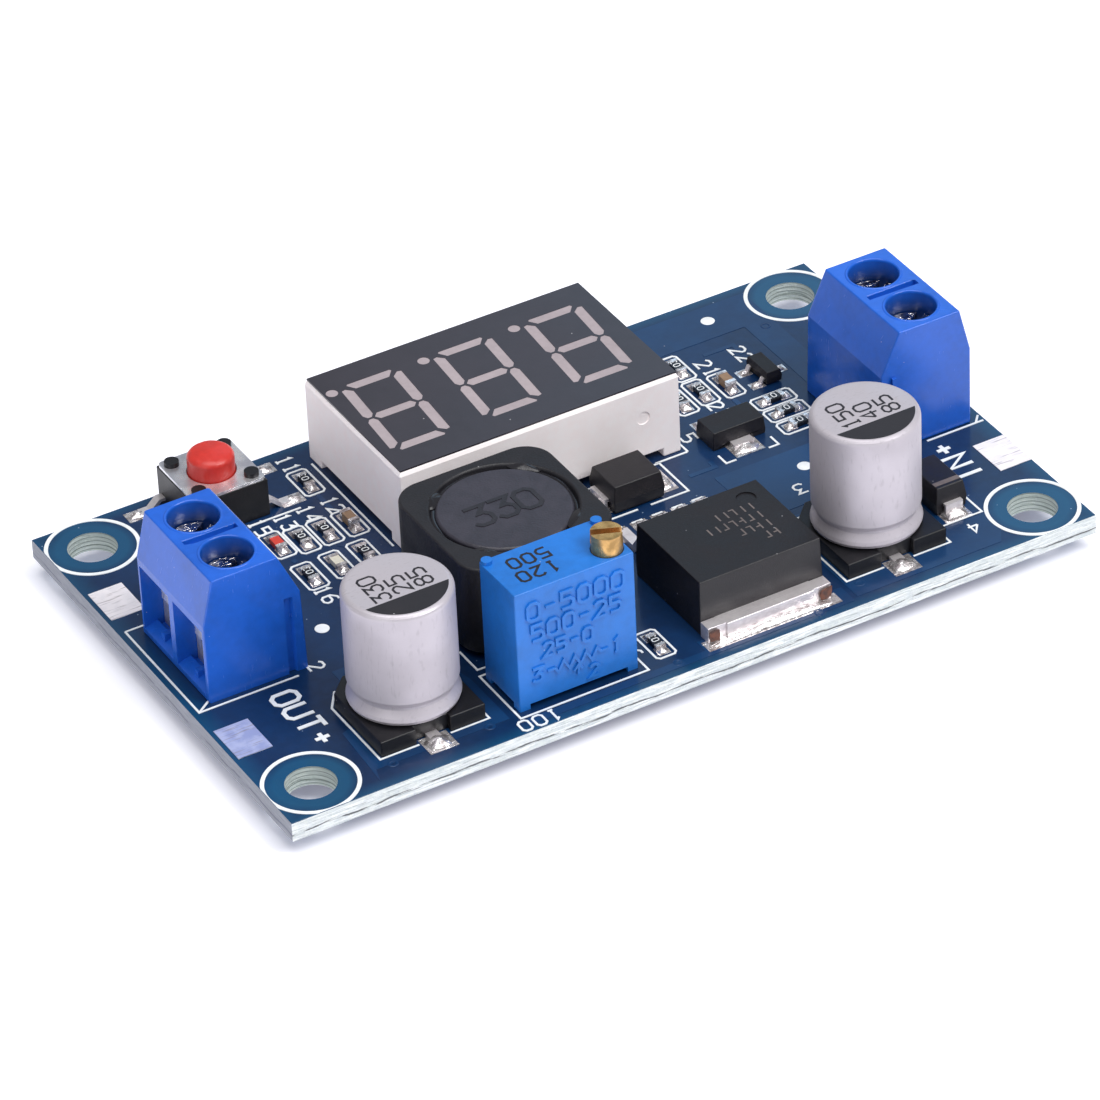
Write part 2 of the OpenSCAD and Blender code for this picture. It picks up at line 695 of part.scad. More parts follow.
// Display, measured from the middle of its case
pocket_z = emitter_z + emitter_t;
face_z = disp_h - face_t;
face_l = disp_l - 2*disp_lip;
face_w = disp_w - 2*disp_lip;

// Puts a part with its foot on the board
module at(x, y, turn = 0) {
    translate([x, y, board_t]) rotate([0, 0, turn]) children();
}

module rounded_square(l, w, r) {
    union() {
        square([l - 2*r, w], center = true);
        square([l, w - 2*r], center = true);
        for (i = [-1, 1], j = [-1, 1])
            translate([i*(l/2 - r), j*(w/2 - r)]) circle(r);
    }
}

// Moulded body: widest at the parting line, with draft above and below it
module moulded(l, w, h, part, draft) {
    intersection() {
        rotate([90, 0, 0]) linear_extrude(w + 1, center = true)
            polygon(moulded_side(l/2, h, part, draft));
        rotate([90, 0, 90]) linear_extrude(l + 1, center = true)
            polygon(moulded_side(w/2, h, part, draft));
    }
}
function moulded_side(a, h, part, draft) = [
    [-a + draft*part/h, 0], [a - draft*part/h, 0], [a, part],
    [a - draft, h], [-a + draft, h], [-a, part]
];

// Gull-wing lead along +X from inside the body to its foot on the board
module gull(root, reach, foot, w, t, z) {
    knee = (reach - foot)*0.45;
    rotate([90, 0, 0]) linear_extrude(w, center = true) polygon([
        [-root, z + t], [knee, z + t], [reach - foot + t*0.6, t], [reach, t],
        [reach, 0], [reach - foot, 0], [knee - t*0.6, z], [-root, z]
    ]);
}

// Strap that leaves a diode at mid height, drops and folds under the body
module strap(w) {
    mid = diode_h*0.45;
    rotate([90, 0, 0]) linear_extrude(w, center = true) polygon([
        [-strap_in, mid], [strap_out, mid], [strap_out, 0], [-strap_foot, 0],
        [-strap_foot, strap_t], [strap_out - strap_t, strap_t],
        [strap_out - strap_t, mid - strap_t], [-strap_in, mid - strap_t]
    ]);
}

// Board
function terminal_pins() = [
    for (i = [-1, 1]) [out_term_x + well_x, out_term_y + i*pole_pitch/2],
    for (i = [-1, 1]) [in_term_x - well_x, in_term_y + i*pole_pitch/2]
];
function trimmer_pin_places() = [
    for (i = [-1:1]) [trim_x + i*trim_pin_pitch, trim_y + trim_pin_y]
];
function display_pin_places() = [
    for (i = [0:disp_pins - 1], j = [-1, 1])
        [disp_x + (i - (disp_pins - 1)/2)*disp_pin_pitch, disp_y + j*disp_pin_rows/2]
];

module at_pins(places) {
    for (p = places) translate([p[0], p[1], 0]) children();
}

module drill(d) {
    translate([0, 0, -eps]) cylinder(h = board_t + 2*eps, d = d + 2*drill_gap);
}

module bare_pad(x, y) {
    translate([x - pad_w/2, y - pad_l/2, board_t - eps]) cube([pad_w, pad_l, pad_t + eps]);
}

module pcb() {
    color("#1c4c9c") difference() {
        union() {
            translate([-board_l/2, -board_w/2, 0]) cube([board_l, board_w, board_t]);
            for (j = [-1, 1]) {
                bare_pad(-board_l/2 + pad_inset + pad_w/2, j*pad_y);
                bare_pad(board_l/2 - pad_w/2, j*pad_y);
            }
        }
        for (i = [-1, 1], j = [-1, 1])
            translate([i*hole_x, j*hole_y, -eps]) cylinder(h = board_t + 2*eps, d = hole_d);
        at_pins(terminal_pins()) drill(term_pin_d);
        at_pins(trimmer_pin_places()) drill(trim_pin_d);
        at_pins(display_pin_places()) drill(disp_pin_d);
    }
}

// Solder fills the drilled barrel and stands as a cone below the board
module solder_joint(d) {
    difference() {
        union() {
            cylinder(h = board_t, d = d + 2*drill_gap);
            translate([0, 0, -solder_h])
                cylinder(h = solder_h, d1 = d + 2*solder_tip, d2 = d + 2*drill_gap + 2*solder_rim);
        }
        translate([0, 0, -solder_h - eps]) cylinder(h = board_t + solder_h + 2*eps, d = d);
    }
}

module through_hole_solder() {
    color("silver") {
        at_pins(terminal_pins()) solder_joint(term_pin_d);
        at_pins(trimmer_pin_places()) solder_joint(trim_pin_d);
        at_pins(display_pin_places()) solder_joint(disp_pin_d);
    }
}

// Screw terminals
module at_out_terminal() {
    at(out_term_x, out_term_y) children();
}

module at_in_terminal() {
    at(in_term_x, in_term_y, 180) children();
}

module dovetail(w, d, h) {
    linear_extrude(h) polygon([[-w/2, 0], [w/2, 0], [w*0.3, -d], [-w*0.3, -d]]);
}

module terminal_housing() {
    top_end = term_lean + term_top;
    dove_x = term_d - dove_inset;
    difference() {
        union() {
            rotate([90, 0, 0]) linear_extrude(term_l, center = true) polygon([
                [0, 0], [0, term_lean_z], [term_lean, term_h], [top_end, term_h],
                [term_d - term_draft, term_back_z], [term_d, 0]
            ]);
            translate([dove_x, term_l/2 + dove_d, 0])
                dovetail(dove_w*0.6, dove_d, dove_h);
        }
        for (i = [-1, 1]) translate([0, i*pole_pitch/2, 0]) {
            translate([well_x, 0, chamber_top - eps])
                cylinder(h = term_h, d = well_d);
            translate([-1, -mouth_w/2, term_floor])
                cube([mouth_d + 1, mouth_w, mouth_h - term_floor]);
            translate([0, -mouth_w/2, term_floor])
                cube([chamber_d, mouth_w, chamber_top - term_floor]);
            translate([well_x, 0, -eps])
                cylinder(h = term_floor + 2*eps, d = term_pin_d + 2*shaft_gap);
        }
        translate([well_x - groove_l/2, -groove_w/2, term_h - groove_w])
            cube([groove_l, groove_w, 1]);
        translate([dove_x, -term_l/2, -eps]) mirror([0, 1, 0])
            dovetail(dove_w, dove_d + slide_gap, dove_h);
    }
    for (i = [-1, 1]) translate([0, i*pole_pitch/2, 0]) terminal_sill();
}

// Ramp with a guide rib that lifts the wire over the housing floor
module terminal_sill() {
    sill_d = mouth_d - guard_t - 3*slide_gap;
    translate([0, mouth_w/2, 0]) rotate([90, 0, 0]) linear_extrude(mouth_w) polygon([
        [0, term_floor], [0, sill_h*0.6], [sill_d, sill_h], [sill_d, term_floor]
    ]);
    translate([sill_d*0.35, -rib_w/2, term_floor])
        cube([sill_d*0.65, rib_w, sill_h + sill_rib - term_floor]);
}

module out_terminal_housing() {
    color("#1f5fe0") at_out_terminal() terminal_housing();
}

module in_terminal_housing() {
    color("#1f5fe0") at_in_terminal() terminal_housing();
}

// Cage with a threaded top and a solder pin, one for each pole
module terminal_contact() {
    difference() {
        translate([mouth_d, -cage_w/2, term_floor])
            cube([cage_l, cage_w, cage_top - term_floor]);
        translate([mouth_d - eps, -cage_w/2 + cage_wall, cage_floor])
            cube([cage_l + 2*eps, cage_w - 2*cage_wall, cage_ceiling - cage_floor]);
        translate([well_x, 0, cage_ceiling - eps])
            cylinder(h = nut_t + 2*eps, d = screw_d + 2*shaft_gap);
    }
    translate([well_x, 0, -board_t - pin_out])
        cylinder(h = board_t + pin_out + term_floor + eps, d = term_pin_d);
}

module terminal_contacts() {
    for (i = [-1, 1]) translate([0, i*pole_pitch/2, 0]) terminal_contact();
}

module out_terminal_contacts() {
    color("gainsboro") at_out_terminal() terminal_contacts();
}

module in_terminal_contacts() {
    color("gainsboro") at_in_terminal() terminal_contacts();
}

// Sheet metal guard: an upright in front of the cage and a foot under the screw
module wire_guard() {
    front_x = mouth_d - slide_gap - guard_t;
    foot_l = well_x + screw_d/2 - front_x;
    translate([front_x, -guard_w/2, guard_low]) cube([guard_t, guard_w, guard_h]);
    translate([front_x, -guard_w/2, guard_low]) cube([foot_l, guard_w, guard_t]);
}

module clamp_screw() {
    difference() {
        union() {
            translate([well_x, 0, head_bottom]) cylinder(h = head_h, d = head_d);
            translate([well_x, 0, guard_top + slide_gap])
                cylinder(h = head_bottom - guard_top - slide_gap + eps, d = screw_d);
        }
        for (a = [0, 90])
            translate([well_x, 0, head_top]) rotate([0, 0, slot_turn + a])
                cube([a == 0 ? 2*head_d : head_d*0.6, slot_w, 2*slot_d], center = true);
    }
}

module out_plus_guard() {
    color("silver") at_out_terminal() translate([0, -pole_pitch/2, 0]) wire_guard();
}

module out_minus_guard() {
    color("silver") at_out_terminal() translate([0, pole_pitch/2, 0]) wire_guard();
}

module in_plus_guard() {
    color("silver") at_in_terminal() translate([0, pole_pitch/2, 0]) wire_guard();
}

module in_minus_guard() {
    color("silver") at_in_terminal() translate([0, -pole_pitch/2, 0]) wire_guard();
}

module out_plus_screw() {
    color("lightgray") at_out_terminal() translate([0, -pole_pitch/2, 0]) clamp_screw();
}

module out_minus_screw() {
    color("lightgray") at_out_terminal() translate([0, pole_pitch/2, 0]) clamp_screw();
}

module in_plus_screw() {
    color("lightgray") at_in_terminal() translate([0, pole_pitch/2, 0]) clamp_screw();
}

module in_minus_screw() {
    color("lightgray") at_in_terminal() translate([0, -pole_pitch/2, 0]) clamp_screw();
}

// Trimmer
module at_trimmer() {
    at(trim_x, trim_y) children();
}

module trimmer_case() {
    arch_l = trim_l - 2*trim_foot_w;
    arch_w = trim_w - 2*trim_foot_w;
    pivot_l = trim_screw_front + wheel_t/2;
    color("#2b7fe0") at_trimmer() difference() {
        union() {
            difference() {
                translate([-trim_l/2, -trim_w/2, 0]) cube([trim_l, trim_w, trim_h]);
                translate([-trim_in_l/2, -trim_in_w/2, trim_foot_h])
                    cube([trim_in_l, trim_in_w, trim_h - trim_roof - trim_foot_h]);
                translate([-arch_l/2, -trim_w/2 - 1, -eps])
                    cube([arch_l, trim_w + 2, trim_foot_h + 2*eps]);
                translate([-trim_l/2 - 1, -arch_w/2, -eps])
                    cube([trim_l + 2, arch_w, trim_foot_h + 2*eps]);
            }
            for (i = [-1, 1])
                translate([i*(trim_l/2 - nub_d/2), trim_w/2 - nub_d/2, trim_h - eps])
                    cylinder(h = nub_h + eps, d = nub_d);
            translate([wheel_x, -trim_w/2 + eps, wheel_z]) rotate([-90, 0, 0])
                cylinder(h = pivot_l, d = wheel_pivot - 2*shaft_gap);
        }
        translate([trim_sx, trim_sy, trim_h - trim_roof - eps])
            cylinder(h = trim_roof + 1, d = trim_head_d + 2*shaft_gap);
    }
}

module trimmer_screw() {
    rings = floor(wheel_r*1.6/worm_pitch);
    low = trim_floor - worm_foot;
    color("goldenrod") at_trimmer() translate([trim_sx, trim_sy, 0]) difference() {
        union() {
            translate([0, 0, trim_h - trim_roof + slide_gap])
                cylinder(h = trim_roof + trim_head_h - slide_gap, d = trim_head_d);
            translate([0, 0, low])
                cylinder(h = trim_h - trim_roof + slide_gap - low + eps, d = worm_root_d);
            for (i = [0:rings - 1])
                translate([0, 0, wheel_z + (i - (rings - 1)/2)*worm_pitch])
                    rotate_extrude() polygon([
                        [0, -worm_pitch*0.35], [worm_root_d/2, -worm_pitch*0.35],
                        [worm_d/2, -worm_pitch*0.15], [worm_d/2, worm_pitch*0.15],
                        [worm_root_d/2, worm_pitch*0.35], [0, worm_pitch*0.35]
                    ]);
        }
        translate([0, 0, trim_h + trim_head_h]) rotate([0, 0, trim_slot_turn])
            cube([2*trim_head_d, trim_slot_w, 2*trim_slot_d], center = true);
    }
}

module trimmer_wheel() {
    tooth = 360/wheel_teeth;
    root_r = wheel_r - tooth_h;
    outline = [
        for (i = [0:wheel_teeth - 1])
            for (k = [[root_r, 0.05], [wheel_r, 0.35], [wheel_r, 0.65], [root_r, 0.95]])
                [k[0]*cos((i + k[1])*tooth), k[0]*sin((i + k[1])*tooth)]
    ];
    color("ivory") at_trimmer() translate([wheel_x, trim_sy + wheel_t/2, wheel_z])
        rotate([90, 0, 0]) difference() {
            union() {
                linear_extrude(wheel_t) polygon(outline);
                translate([0, 0, -wiper_t]) cylinder(h = wiper_t + eps, d = wiper_d);
            }
            translate([0, 0, -1]) cylinder(h = wheel_t + 2, d = wheel_pivot);
        }
}

module trimmer_plate() {
    plate_l = trim_in_l - 2*plate_gap;
    plate_h = trim_h - trim_roof - trim_floor - plate_gap;
    color("lightsteelblue") at_trimmer()
        translate([-plate_l/2, plate_y, trim_floor]) cube([plate_l, plate_t, plate_h]);
}

module trimmer_base() {
    color("#1a66c8") at_trimmer() difference() {
        translate([-trim_in_l/2, -trim_in_w/2, trim_foot_h])
            cube([trim_in_l, trim_in_w, trim_floor - trim_foot_h]);
        for (i = [-1:1])
            translate([i*trim_pin_pitch, trim_pin_y, 0])
                cylinder(h = 2*trim_floor, d = trim_pin_d);
        translate([trim_sx, trim_sy, trim_floor - worm_foot - 2*slide_gap])
            cylinder(h = trim_floor, d = worm_root_d + 2*shaft_gap);
    }
}

module trimmer_pins() {
    color("silver") at_pins(trimmer_pin_places())
        translate([0, 0, -pin_out])
            cylinder(h = pin_out + board_t + trim_floor + trim_pin_in, d = trim_pin_d);
}

// Display
module at_display() {
    at(disp_x, disp_y) children();
}

function lean(points) = [for (p = points) [p[0] + digit_lean*p[1], p[1]]];
function shift(points, x, y) = [for (p = points) [p[0] + x, p[1] + y]];
function flip_y(points) = [for (i = [len(points) - 1:-1:0]) [points[i][0], -points[i][1]]];
function flip_x(points) = [for (i = [len(points) - 1:-1:0]) [-points[i][0], points[i][1]]];

// Outlines of the seven bars of one digit
row_h = (digit_h - bar_w)/2;
end_bar = digit_w - bar_gap - bar_w/4;
mid_bar = digit_w - bar_w + bar_gap/2;
side_bar = row_h - bar_gap;
end_outline = [
    [-end_bar/2 + bar_w*0.6, -bar_w/2], [end_bar/2 - bar_w*0.6, -bar_w/2],
    [end_bar/2, bar_w*0.3], [end_bar/2 - bar_w*0.15, bar_w/2],
    [-end_bar/2 + bar_w*0.15, bar_w/2], [-end_bar/2, bar_w*0.3]
];
mid_outline = [
    [-mid_bar/2 + bar_w*0.4, -bar_w/2], [mid_bar/2 - bar_w*0.4, -bar_w/2], [mid_bar/2, 0],
    [mid_bar/2 - bar_w*0.4, bar_w/2], [-mid_bar/2 + bar_w*0.4, bar_w/2], [-mid_bar/2, 0]
];
side_outline = [
    [-bar_w/2, bar_w*0.45], [-bar_w*0.2, 0], [bar_w*0.2, 0], [bar_w/2, bar_w*0.45],
    [bar_w/2, side_bar - bar_w*0.55], [-bar_w*0.1, side_bar], [-bar_w/2, side_bar - bar_w*0.1]
];
left_side = shift(side_outline, -digit_w/2, bar_gap/2);
right_side = shift(flip_x(side_outline), digit_w/2, bar_gap/2);
digit_outlines = [
    shift(end_outline, 0, row_h), mid_outline, shift(flip_y(end_outline), 0, -row_h),
    left_side, right_side, flip_y(left_side), flip_y(right_side)
];

module digit_shapes() {
    for (i = [-1:1]) translate([digit_off + i*digit_pitch, 0]) {
        for (outline = digit_outlines) polygon(lean(outline));
        translate([-point_x + digit_lean*row_h, row_h]) circle(d = point_d);
    }
}

module display_case() {
    color("#d9d2d2") at_display() difference() {
        union() {
            intersection() {
                rotate([90, 0, 0]) linear_extrude(disp_w + 1, center = true)
                    polygon(case_side(disp_l/2));
                rotate([90, 0, 90]) linear_extrude(disp_l + 1, center = true)
                    polygon(case_side(disp_w/2));
            }
            for (i = [-1, 1], j = [-1, 1])
                translate([i*(disp_l - disp_foot_l)/2, j*(disp_w - disp_foot_w)/2, 0])
                    linear_extrude(disp_foot_h + eps)
                        square([disp_foot_l, disp_foot_w], center = true);
        }
        translate([-disp_l/2 + disp_wall, -disp_w/2 + disp_wall, -eps])
            cube([disp_l - 2*disp_wall, disp_w - 2*disp_wall, pocket_z + eps]);
        translate([0, 0, pocket_z - eps]) linear_extrude(disp_h) digit_shapes();
        translate([disp_l/2 - disp_dimple_x, -disp_w/2, disp_h*0.58]) rotate([90, 0, 0])
            cylinder(h = 2*disp_dimple_t, d = disp_dimple_d, center = true);
    }
}
function case_side(a) = [
    [-a, disp_foot_h], [a, disp_foot_h], [a, disp_h - disp_lip_h],
    [a - disp_lip, face_z], [-a + disp_lip, face_z], [-a, disp_h - disp_lip_h]
];

module display_face() {
    color("#3c3a42") at_display() translate([0, 0, face_z]) linear_extrude(face_t)
        difference() {
            square([face_l, face_w], center = true);
            digit_shapes();
        }
}

module display_bars() {
    color("#c9bcbe") at_display() translate([0, 0, pocket_z])
        linear_extrude(disp_h - pocket_z - face_t*0.2) digit_shapes();
}

module display_emitter_board() {
    l = disp_l - 2*disp_wall;
    w = disp_w - 2*disp_wall;
    color("#c8c49a") at_display() difference() {
        translate([-l/2, -w/2, emitter_z]) cube([l, w, emitter_t]);
        for (p = display_pin_places())
            translate([p[0] - disp_x, p[1] - disp_y, emitter_z - eps])
                cylinder(h = emitter_t*0.75, d = disp_pin_d);
    }
}

module display_pins() {
    color("silver") at_pins(display_pin_places())
        translate([0, 0, -pin_out])
            cylinder(h = pin_out + board_t + emitter_z + emitter_t*0.75 - eps, d = disp_pin_d);
}

// Inductor
module at_inductor() {
    at(ind_x, ind_y) children();
}

module inductor_shield() {
    color("#39383b") at_inductor() translate([0, 0, ind_base_t]) difference() {
        linear_extrude(ind_h - ind_base_t) rounded_square(ind_s, ind_s, ind_corner);
        translate([0, 0, ind_base_t]) cylinder(h = ind_h, d = ind_bore, $fn = 96);
    }
}

module inductor_drum() {
    low = 2*ind_base_t;
    high = ind_h - drum_sink;
    color("#454347") at_inductor() rotate_extrude($fn = 96) polygon([
        [0, low], [drum_d/2, low], [drum_d/2, low + flange_t], [post_d/2, low + flange_t],
        [post_d/2, high - flange_t], [drum_d/2, high - flange_t],
        [drum_d/2, high - drum_edge], [drum_d/2 - drum_edge, high], [0, high]
    ]);
}

module inductor_winding() {
    low = 2*ind_base_t + flange_t;
    high = ind_h - drum_sink - flange_t;
    turns = floor((high - low)/wire_d);
    outer = post_d/2 + wire_layers*wire_d;
    steps = 6;
    profile = [
        [post_d/2 + eps, low + eps],
        for (i = [0:turns - 1], k = [0:steps])
            let (a = -90 + 180*k/steps, z = low + eps + (i + 0.5)*wire_d)
                [outer - wire_d/2 + wire_d/2*cos(a), z + wire_d/2*sin(a)*(k%steps == 0 ? 0.98 : 1)],
        [post_d/2 + eps, low + turns*wire_d]
    ];
    color("#b5652a") at_inductor() rotate_extrude() polygon(profile);
}

module inductor_terminals() {
    color("silver") at_inductor() for (j = [-1, 1]) rotate([0, 0, 90*j])
        rotate([90, 0, 0]) linear_extrude(ind_clip_w, center = true) polygon([
            [ind_s/2 - ind_clip_in, 0], [ind_s/2 + ind_clip_t, 0],
            [ind_s/2 + ind_clip_t, ind_clip_h], [ind_s/2, ind_clip_h],
            [ind_s/2, ind_base_t], [ind_s/2 - ind_clip_in, ind_base_t]
        ]);
}

// Regulator
module at_regulator() {
    at(reg_x, reg_y) children();
}

module regulator_lead_set() {
    for (i = [-2:2]) translate([i*reg_pitch, reg_l/2, 0]) rotate([0, 0, 90])
        gull(reg_lead_in, reg_lead_out, reg_foot_l, reg_lead_w, reg_lead_t, reg_lead_z);
}

// Heat tab: a full-width plate in front with a narrower neck into the body
module regulator_slab() {
    y0 = -reg_l/2 - tab_out;
    linear_extrude(tab_t) polygon([
        [-reg_w/2 + tab_cut, y0], [reg_w/2 - tab_cut, y0], [reg_w/2 - tab_cut, y0 + tab_step],
        [reg_w/2, y0 + tab_step], [reg_w/2, -reg_l/2], [tab_neck_w/2, -reg_l/2],
        [tab_neck_w/2, -reg_l/2 + tab_neck_l], [-tab_neck_w/2, -reg_l/2 + tab_neck_l],
        [-tab_neck_w/2, -reg_l/2], [-reg_w/2, -reg_l/2], [-reg_w/2, y0 + tab_step],
        [-reg_w/2 + tab_cut, y0 + tab_step]
    ]);
}

module regulator_body() {
    color("#2e2d30") at_regulator() difference() {
        moulded(reg_w, reg_l, reg_h, tab_t, reg_draft);
        regulator_slab();
        regulator_lead_set();
        translate([reg_w/2 - dimple_x, reg_l/2 - dimple_y, reg_h - dimple_t])
            cylinder(h = 1, d = dimple_d);
    }
}

module regulator_tab() {
    color("lightgray") at_regulator() regulator_slab();
}

module regulator_leads() {
    color("silver") at_regulator() regulator_lead_set();
}

// Capacitors
module capacitor_can() {
    r = can_d/2;
    steps = 5;
    color("#c9c6cc") translate([0, 0, base_t]) rotate_extrude($fn = 72) polygon([
        [0, 0], [r - can_foot, 0], [r, rim_z*0.43], [r + can_rim, rim_z], [r, rim_z*1.62],
        [r - neck_d, neck_z - neck_w/2], [r - neck_d, neck_z + neck_w/2],
        [r, neck_z + neck_w/2 + neck_slope],
        for (k = [0:steps])
            [r - can_edge*(1 - cos(90*k/steps)), can_h - base_t - can_edge*(1 - sin(90*k/steps))],
        [0, can_h - base_t]
    ]);
}

module cap_lead(j) {
    translate([-cap_lead_w/2, j > 0 ? cap_lead_mid : -base_s/2 - cap_lead_out, 0])
        cube([cap_lead_w, base_s/2 + cap_lead_out - cap_lead_mid, cap_lead_t]);
}

module capacitor_base() {
    s = base_s/2;
    color("#232225") difference() {
        linear_extrude(base_t) polygon([
            [-s, -s], [-base_notch_w/2, -s], [-base_notch_w/2, -s + base_notch],
            [base_notch_w/2, -s + base_notch], [base_notch_w/2, -s], [s, -s],
            [s, s - base_cut], [s - base_cut, s], [base_notch_w/2, s],
            [base_notch_w/2, s - base_notch], [-base_notch_w/2, s - base_notch],
            [-base_notch_w/2, s], [-s + base_cut, s], [-s, s - base_cut]
        ]);
        for (j = [-1, 1]) cap_lead(j);
    }
}

module capacitor_leads() {
    color("silver") for (j = [-1, 1]) cap_lead(j);
}

module out_capacitor_can() {
    at(out_cap_x, cap_y) capacitor_can();
}

module out_capacitor_base() {
    at(out_cap_x, cap_y) capacitor_base();
}

module out_capacitor_leads() {
    at(out_cap_x, cap_y) capacitor_leads();
}

module in_capacitor_can() {
    at(in_cap_x, cap_y) capacitor_can();
}

module in_capacitor_base() {
    at(in_cap_x, cap_y) capacitor_base();
}

module in_capacitor_leads() {
    at(in_cap_x, cap_y) capacitor_leads();
}

// Push button, measured from the middle of its base
cap_skirt_d = plunger_d + 2*skirt_rim;
skirt_top = btn_h - cover_t - slide_gap;
skirt_low = skirt_top - skirt_t;
dome_h = skirt_low - btn_floor - slide_gap;

module at_button() {
    at(btn_x, btn_y) children();
}

module at_studs() {
    for (i = [-1, 1], j = [-1, 1]) translate([i*stud_pitch/2, j*stud_pitch/2, 0]) children();
}

module btn_lead_set() {
    for (i = [0, 180], j = [-1, 1]) rotate([0, 0, i]) translate([btn_s/2, j*btn_lead_pitch/2, 0])
        gull(btn_lead_in, btn_lead_out, btn_foot_l, btn_lead_w, btn_lead_t, btn_lead_z);
}

module button_base() {
    color("#1d1c1e") at_button() difference() {
        union() {
            translate([0, 0, (btn_h - cover_t)/2])
                cube([btn_s, btn_s, btn_h - cover_t], center = true);
            at_studs() cylinder(h = btn_h + stud_h, d = stud_d);
        }
        translate([0, 0, btn_floor]) cylinder(h = btn_h, d = cap_skirt_d + 2*well_gap);
        btn_lead_set();
    }
}

module button_cover() {
    color("#cfcac4") at_button() translate([0, 0, btn_h - cover_t]) linear_extrude(cover_t)
        difference() {
            rounded_square(btn_s - 2*cover_inset, btn_s - 2*cover_inset, cover_corner);
            circle(d = plunger_d + 2*well_gap);
            for (i = [-1, 1], j = [-1, 1])
                translate([i*stud_pitch/2, j*stud_pitch/2]) circle(d = stud_d);
        }
}

module button_cap() {
    r = plunger_d/2;
    color("#e0382c") at_button() rotate_extrude() polygon([
        [0, skirt_low], [cap_skirt_d/2, skirt_low], [cap_skirt_d/2, skirt_top], [r, skirt_top],
        [r, plunger_h - plunger_edge], [r - plunger_edge, plunger_h - cap_crown], [0, plunger_h]
    ]);
}

// Snap dome under the cap, a thin dished disc
module button_dome() {
    r = cap_skirt_d/2 - dome_gap;
    rise = dome_h - dome_t;
    steps = 6;
    inner = [for (k = [steps:-1:0]) [r*(1 - k/steps), btn_floor + rise*sin(90*k/steps)]];
    outer = [for (k = [0:steps]) [r*(1 - k/steps), btn_floor + dome_t + rise*sin(90*k/steps)]];
    color("silver") at_button() rotate_extrude() polygon(concat(outer, inner));
}

module button_leads() {
    color("silver") at_button() btn_lead_set();
}

// Diodes
module diode_straps(l, w) {
    for (i = [0, 180]) rotate([0, 0, i]) translate([l/2, 0, 0]) strap(w);
}

module diode_body(l, w) {
    difference() {
        translate([0, 0, small_lift])
            moulded(l, w, diode_h - small_lift, diode_h*0.4, diode_draft);
        diode_straps(l, w*0.55);
    }
}

module in_diode_body() {
    color("#29282c") at(in_diode_x, in_diode_y, 90) diode_body(in_diode_l, in_diode_w);
}

module in_diode_straps() {
    color("silver") at(in_diode_x, in_diode_y, 90)
        diode_straps(in_diode_l, in_diode_w*0.55);
}

module out_diode_body() {
    color("#29282c") at(out_diode_x, out_diode_y) diode_body(out_diode_l, out_diode_w);
}

module out_diode_straps() {
    color("silver") at(out_diode_x, out_diode_y)
        diode_straps(out_diode_l, out_diode_w*0.55);
}

// Small regulator with a centre tab to the front and three leads to the back
module sot_metal() {
    for (i = [-1:1]) translate([i*sot_pitch - sot_lead_w/2, sot_w/2 - small_lead_in, 0])
        cube([sot_lead_w, sot_lead_out + small_lead_in, sot_lead_t]);
    translate([-sot_tab_w/2, -sot_w/2 - sot_tab_out, 0])
        cube([sot_tab_w, sot_tab_out + sot_tab_in, sot_lead_t]);
}

module small_regulator_body() {
    color("#2b2a2d") at(sot_x, sot_y) difference() {
        moulded(sot_l, sot_w, sot_h, sot_lead_t + slide_gap, small_draft);
        sot_metal();
    }
}

module small_regulator_leads() {
    color("silver") at(sot_x, sot_y) sot_metal();
}

// Three-lead reference, two leads on the display side and one opposite
module ref_metal() {
    for (j = [-1, 1]) translate([-ref_w/2, j*ref_pitch/2, 0]) rotate([0, 0, 180]) ref_lead();
    translate([ref_w/2, 0, 0]) ref_lead();
}

module ref_lead() {
    gull(small_lead_in, ref_lead_out, ref_lead_out/2, ref_lead_w, ref_lead_t, ref_h*0.4);
}

module reference_body() {
    color("#2b2a2d") at(ref_x, ref_y) difference() {
        translate([0, 0, small_lift])
            moulded(ref_w, ref_l, ref_h - small_lift, ref_h*0.45, small_draft);
        ref_metal();
    }
}

module reference_leads() {
    color("silver") at(ref_x, ref_y) ref_metal();
}

// Controller under the display
module mcu_metal() {
    for (i = [0:mcu_leads - 1], j = [-1, 1])
        translate([(i - (mcu_leads - 1)/2)*mcu_pitch, j*mcu_w/2, 0]) rotate([0, 0, 90*j])
            gull(small_lead_in, mcu_lead_out, mcu_lead_out*0.6, mcu_lead_w, mcu_lead_t, mcu_h*0.45);
}

module controller_body() {
    color("#2b2a2d") at(disp_x, disp_y) difference() {
        translate([0, 0, small_lift])
            moulded(mcu_l, mcu_w, mcu_h - small_lift, mcu_h*0.43, small_draft);
        mcu_metal();
    }
}

module controller_leads() {
    color("silver") at(disp_x, disp_y) mcu_metal();
}

// Chip parts: a ceramic core in two plated ends
module chip_core(h) {
    translate([0, 0, h/2])
        cube([chip_l - 2*plating, chip_w - 2*plating, h - 2*plating], center = true);
}

module chip_plating(h) {
    difference() {
        for (i = [-1, 1]) translate([i*(chip_l - chip_end)/2, 0, h/2])
            cube([chip_end, chip_w, h], center = true);
        chip_core(h);
    }
}

module chip_resistors() {
    color("#26262a") for (p = resistors) at(p[0], p[1], p[2]) chip_core(chip_res_h);
}

module chip_capacitors() {
    color("#a5805a") for (p = capacitors) at(p[0], p[1], p[2]) chip_core(chip_cap_h);
}

module indicator_lights() {
    color("#f0ece0") for (p = lights) at(p[0], p[1], p[2]) chip_core(chip_led_h);
}

module chip_ends() {
    color("silver") {
        for (p = resistors) at(p[0], p[1], p[2]) chip_plating(chip_res_h);
        for (p = capacitors) at(p[0], p[1], p[2]) chip_plating(chip_cap_h);
        for (p = lights) at(p[0], p[1], p[2]) chip_plating(chip_led_h);
    }
}

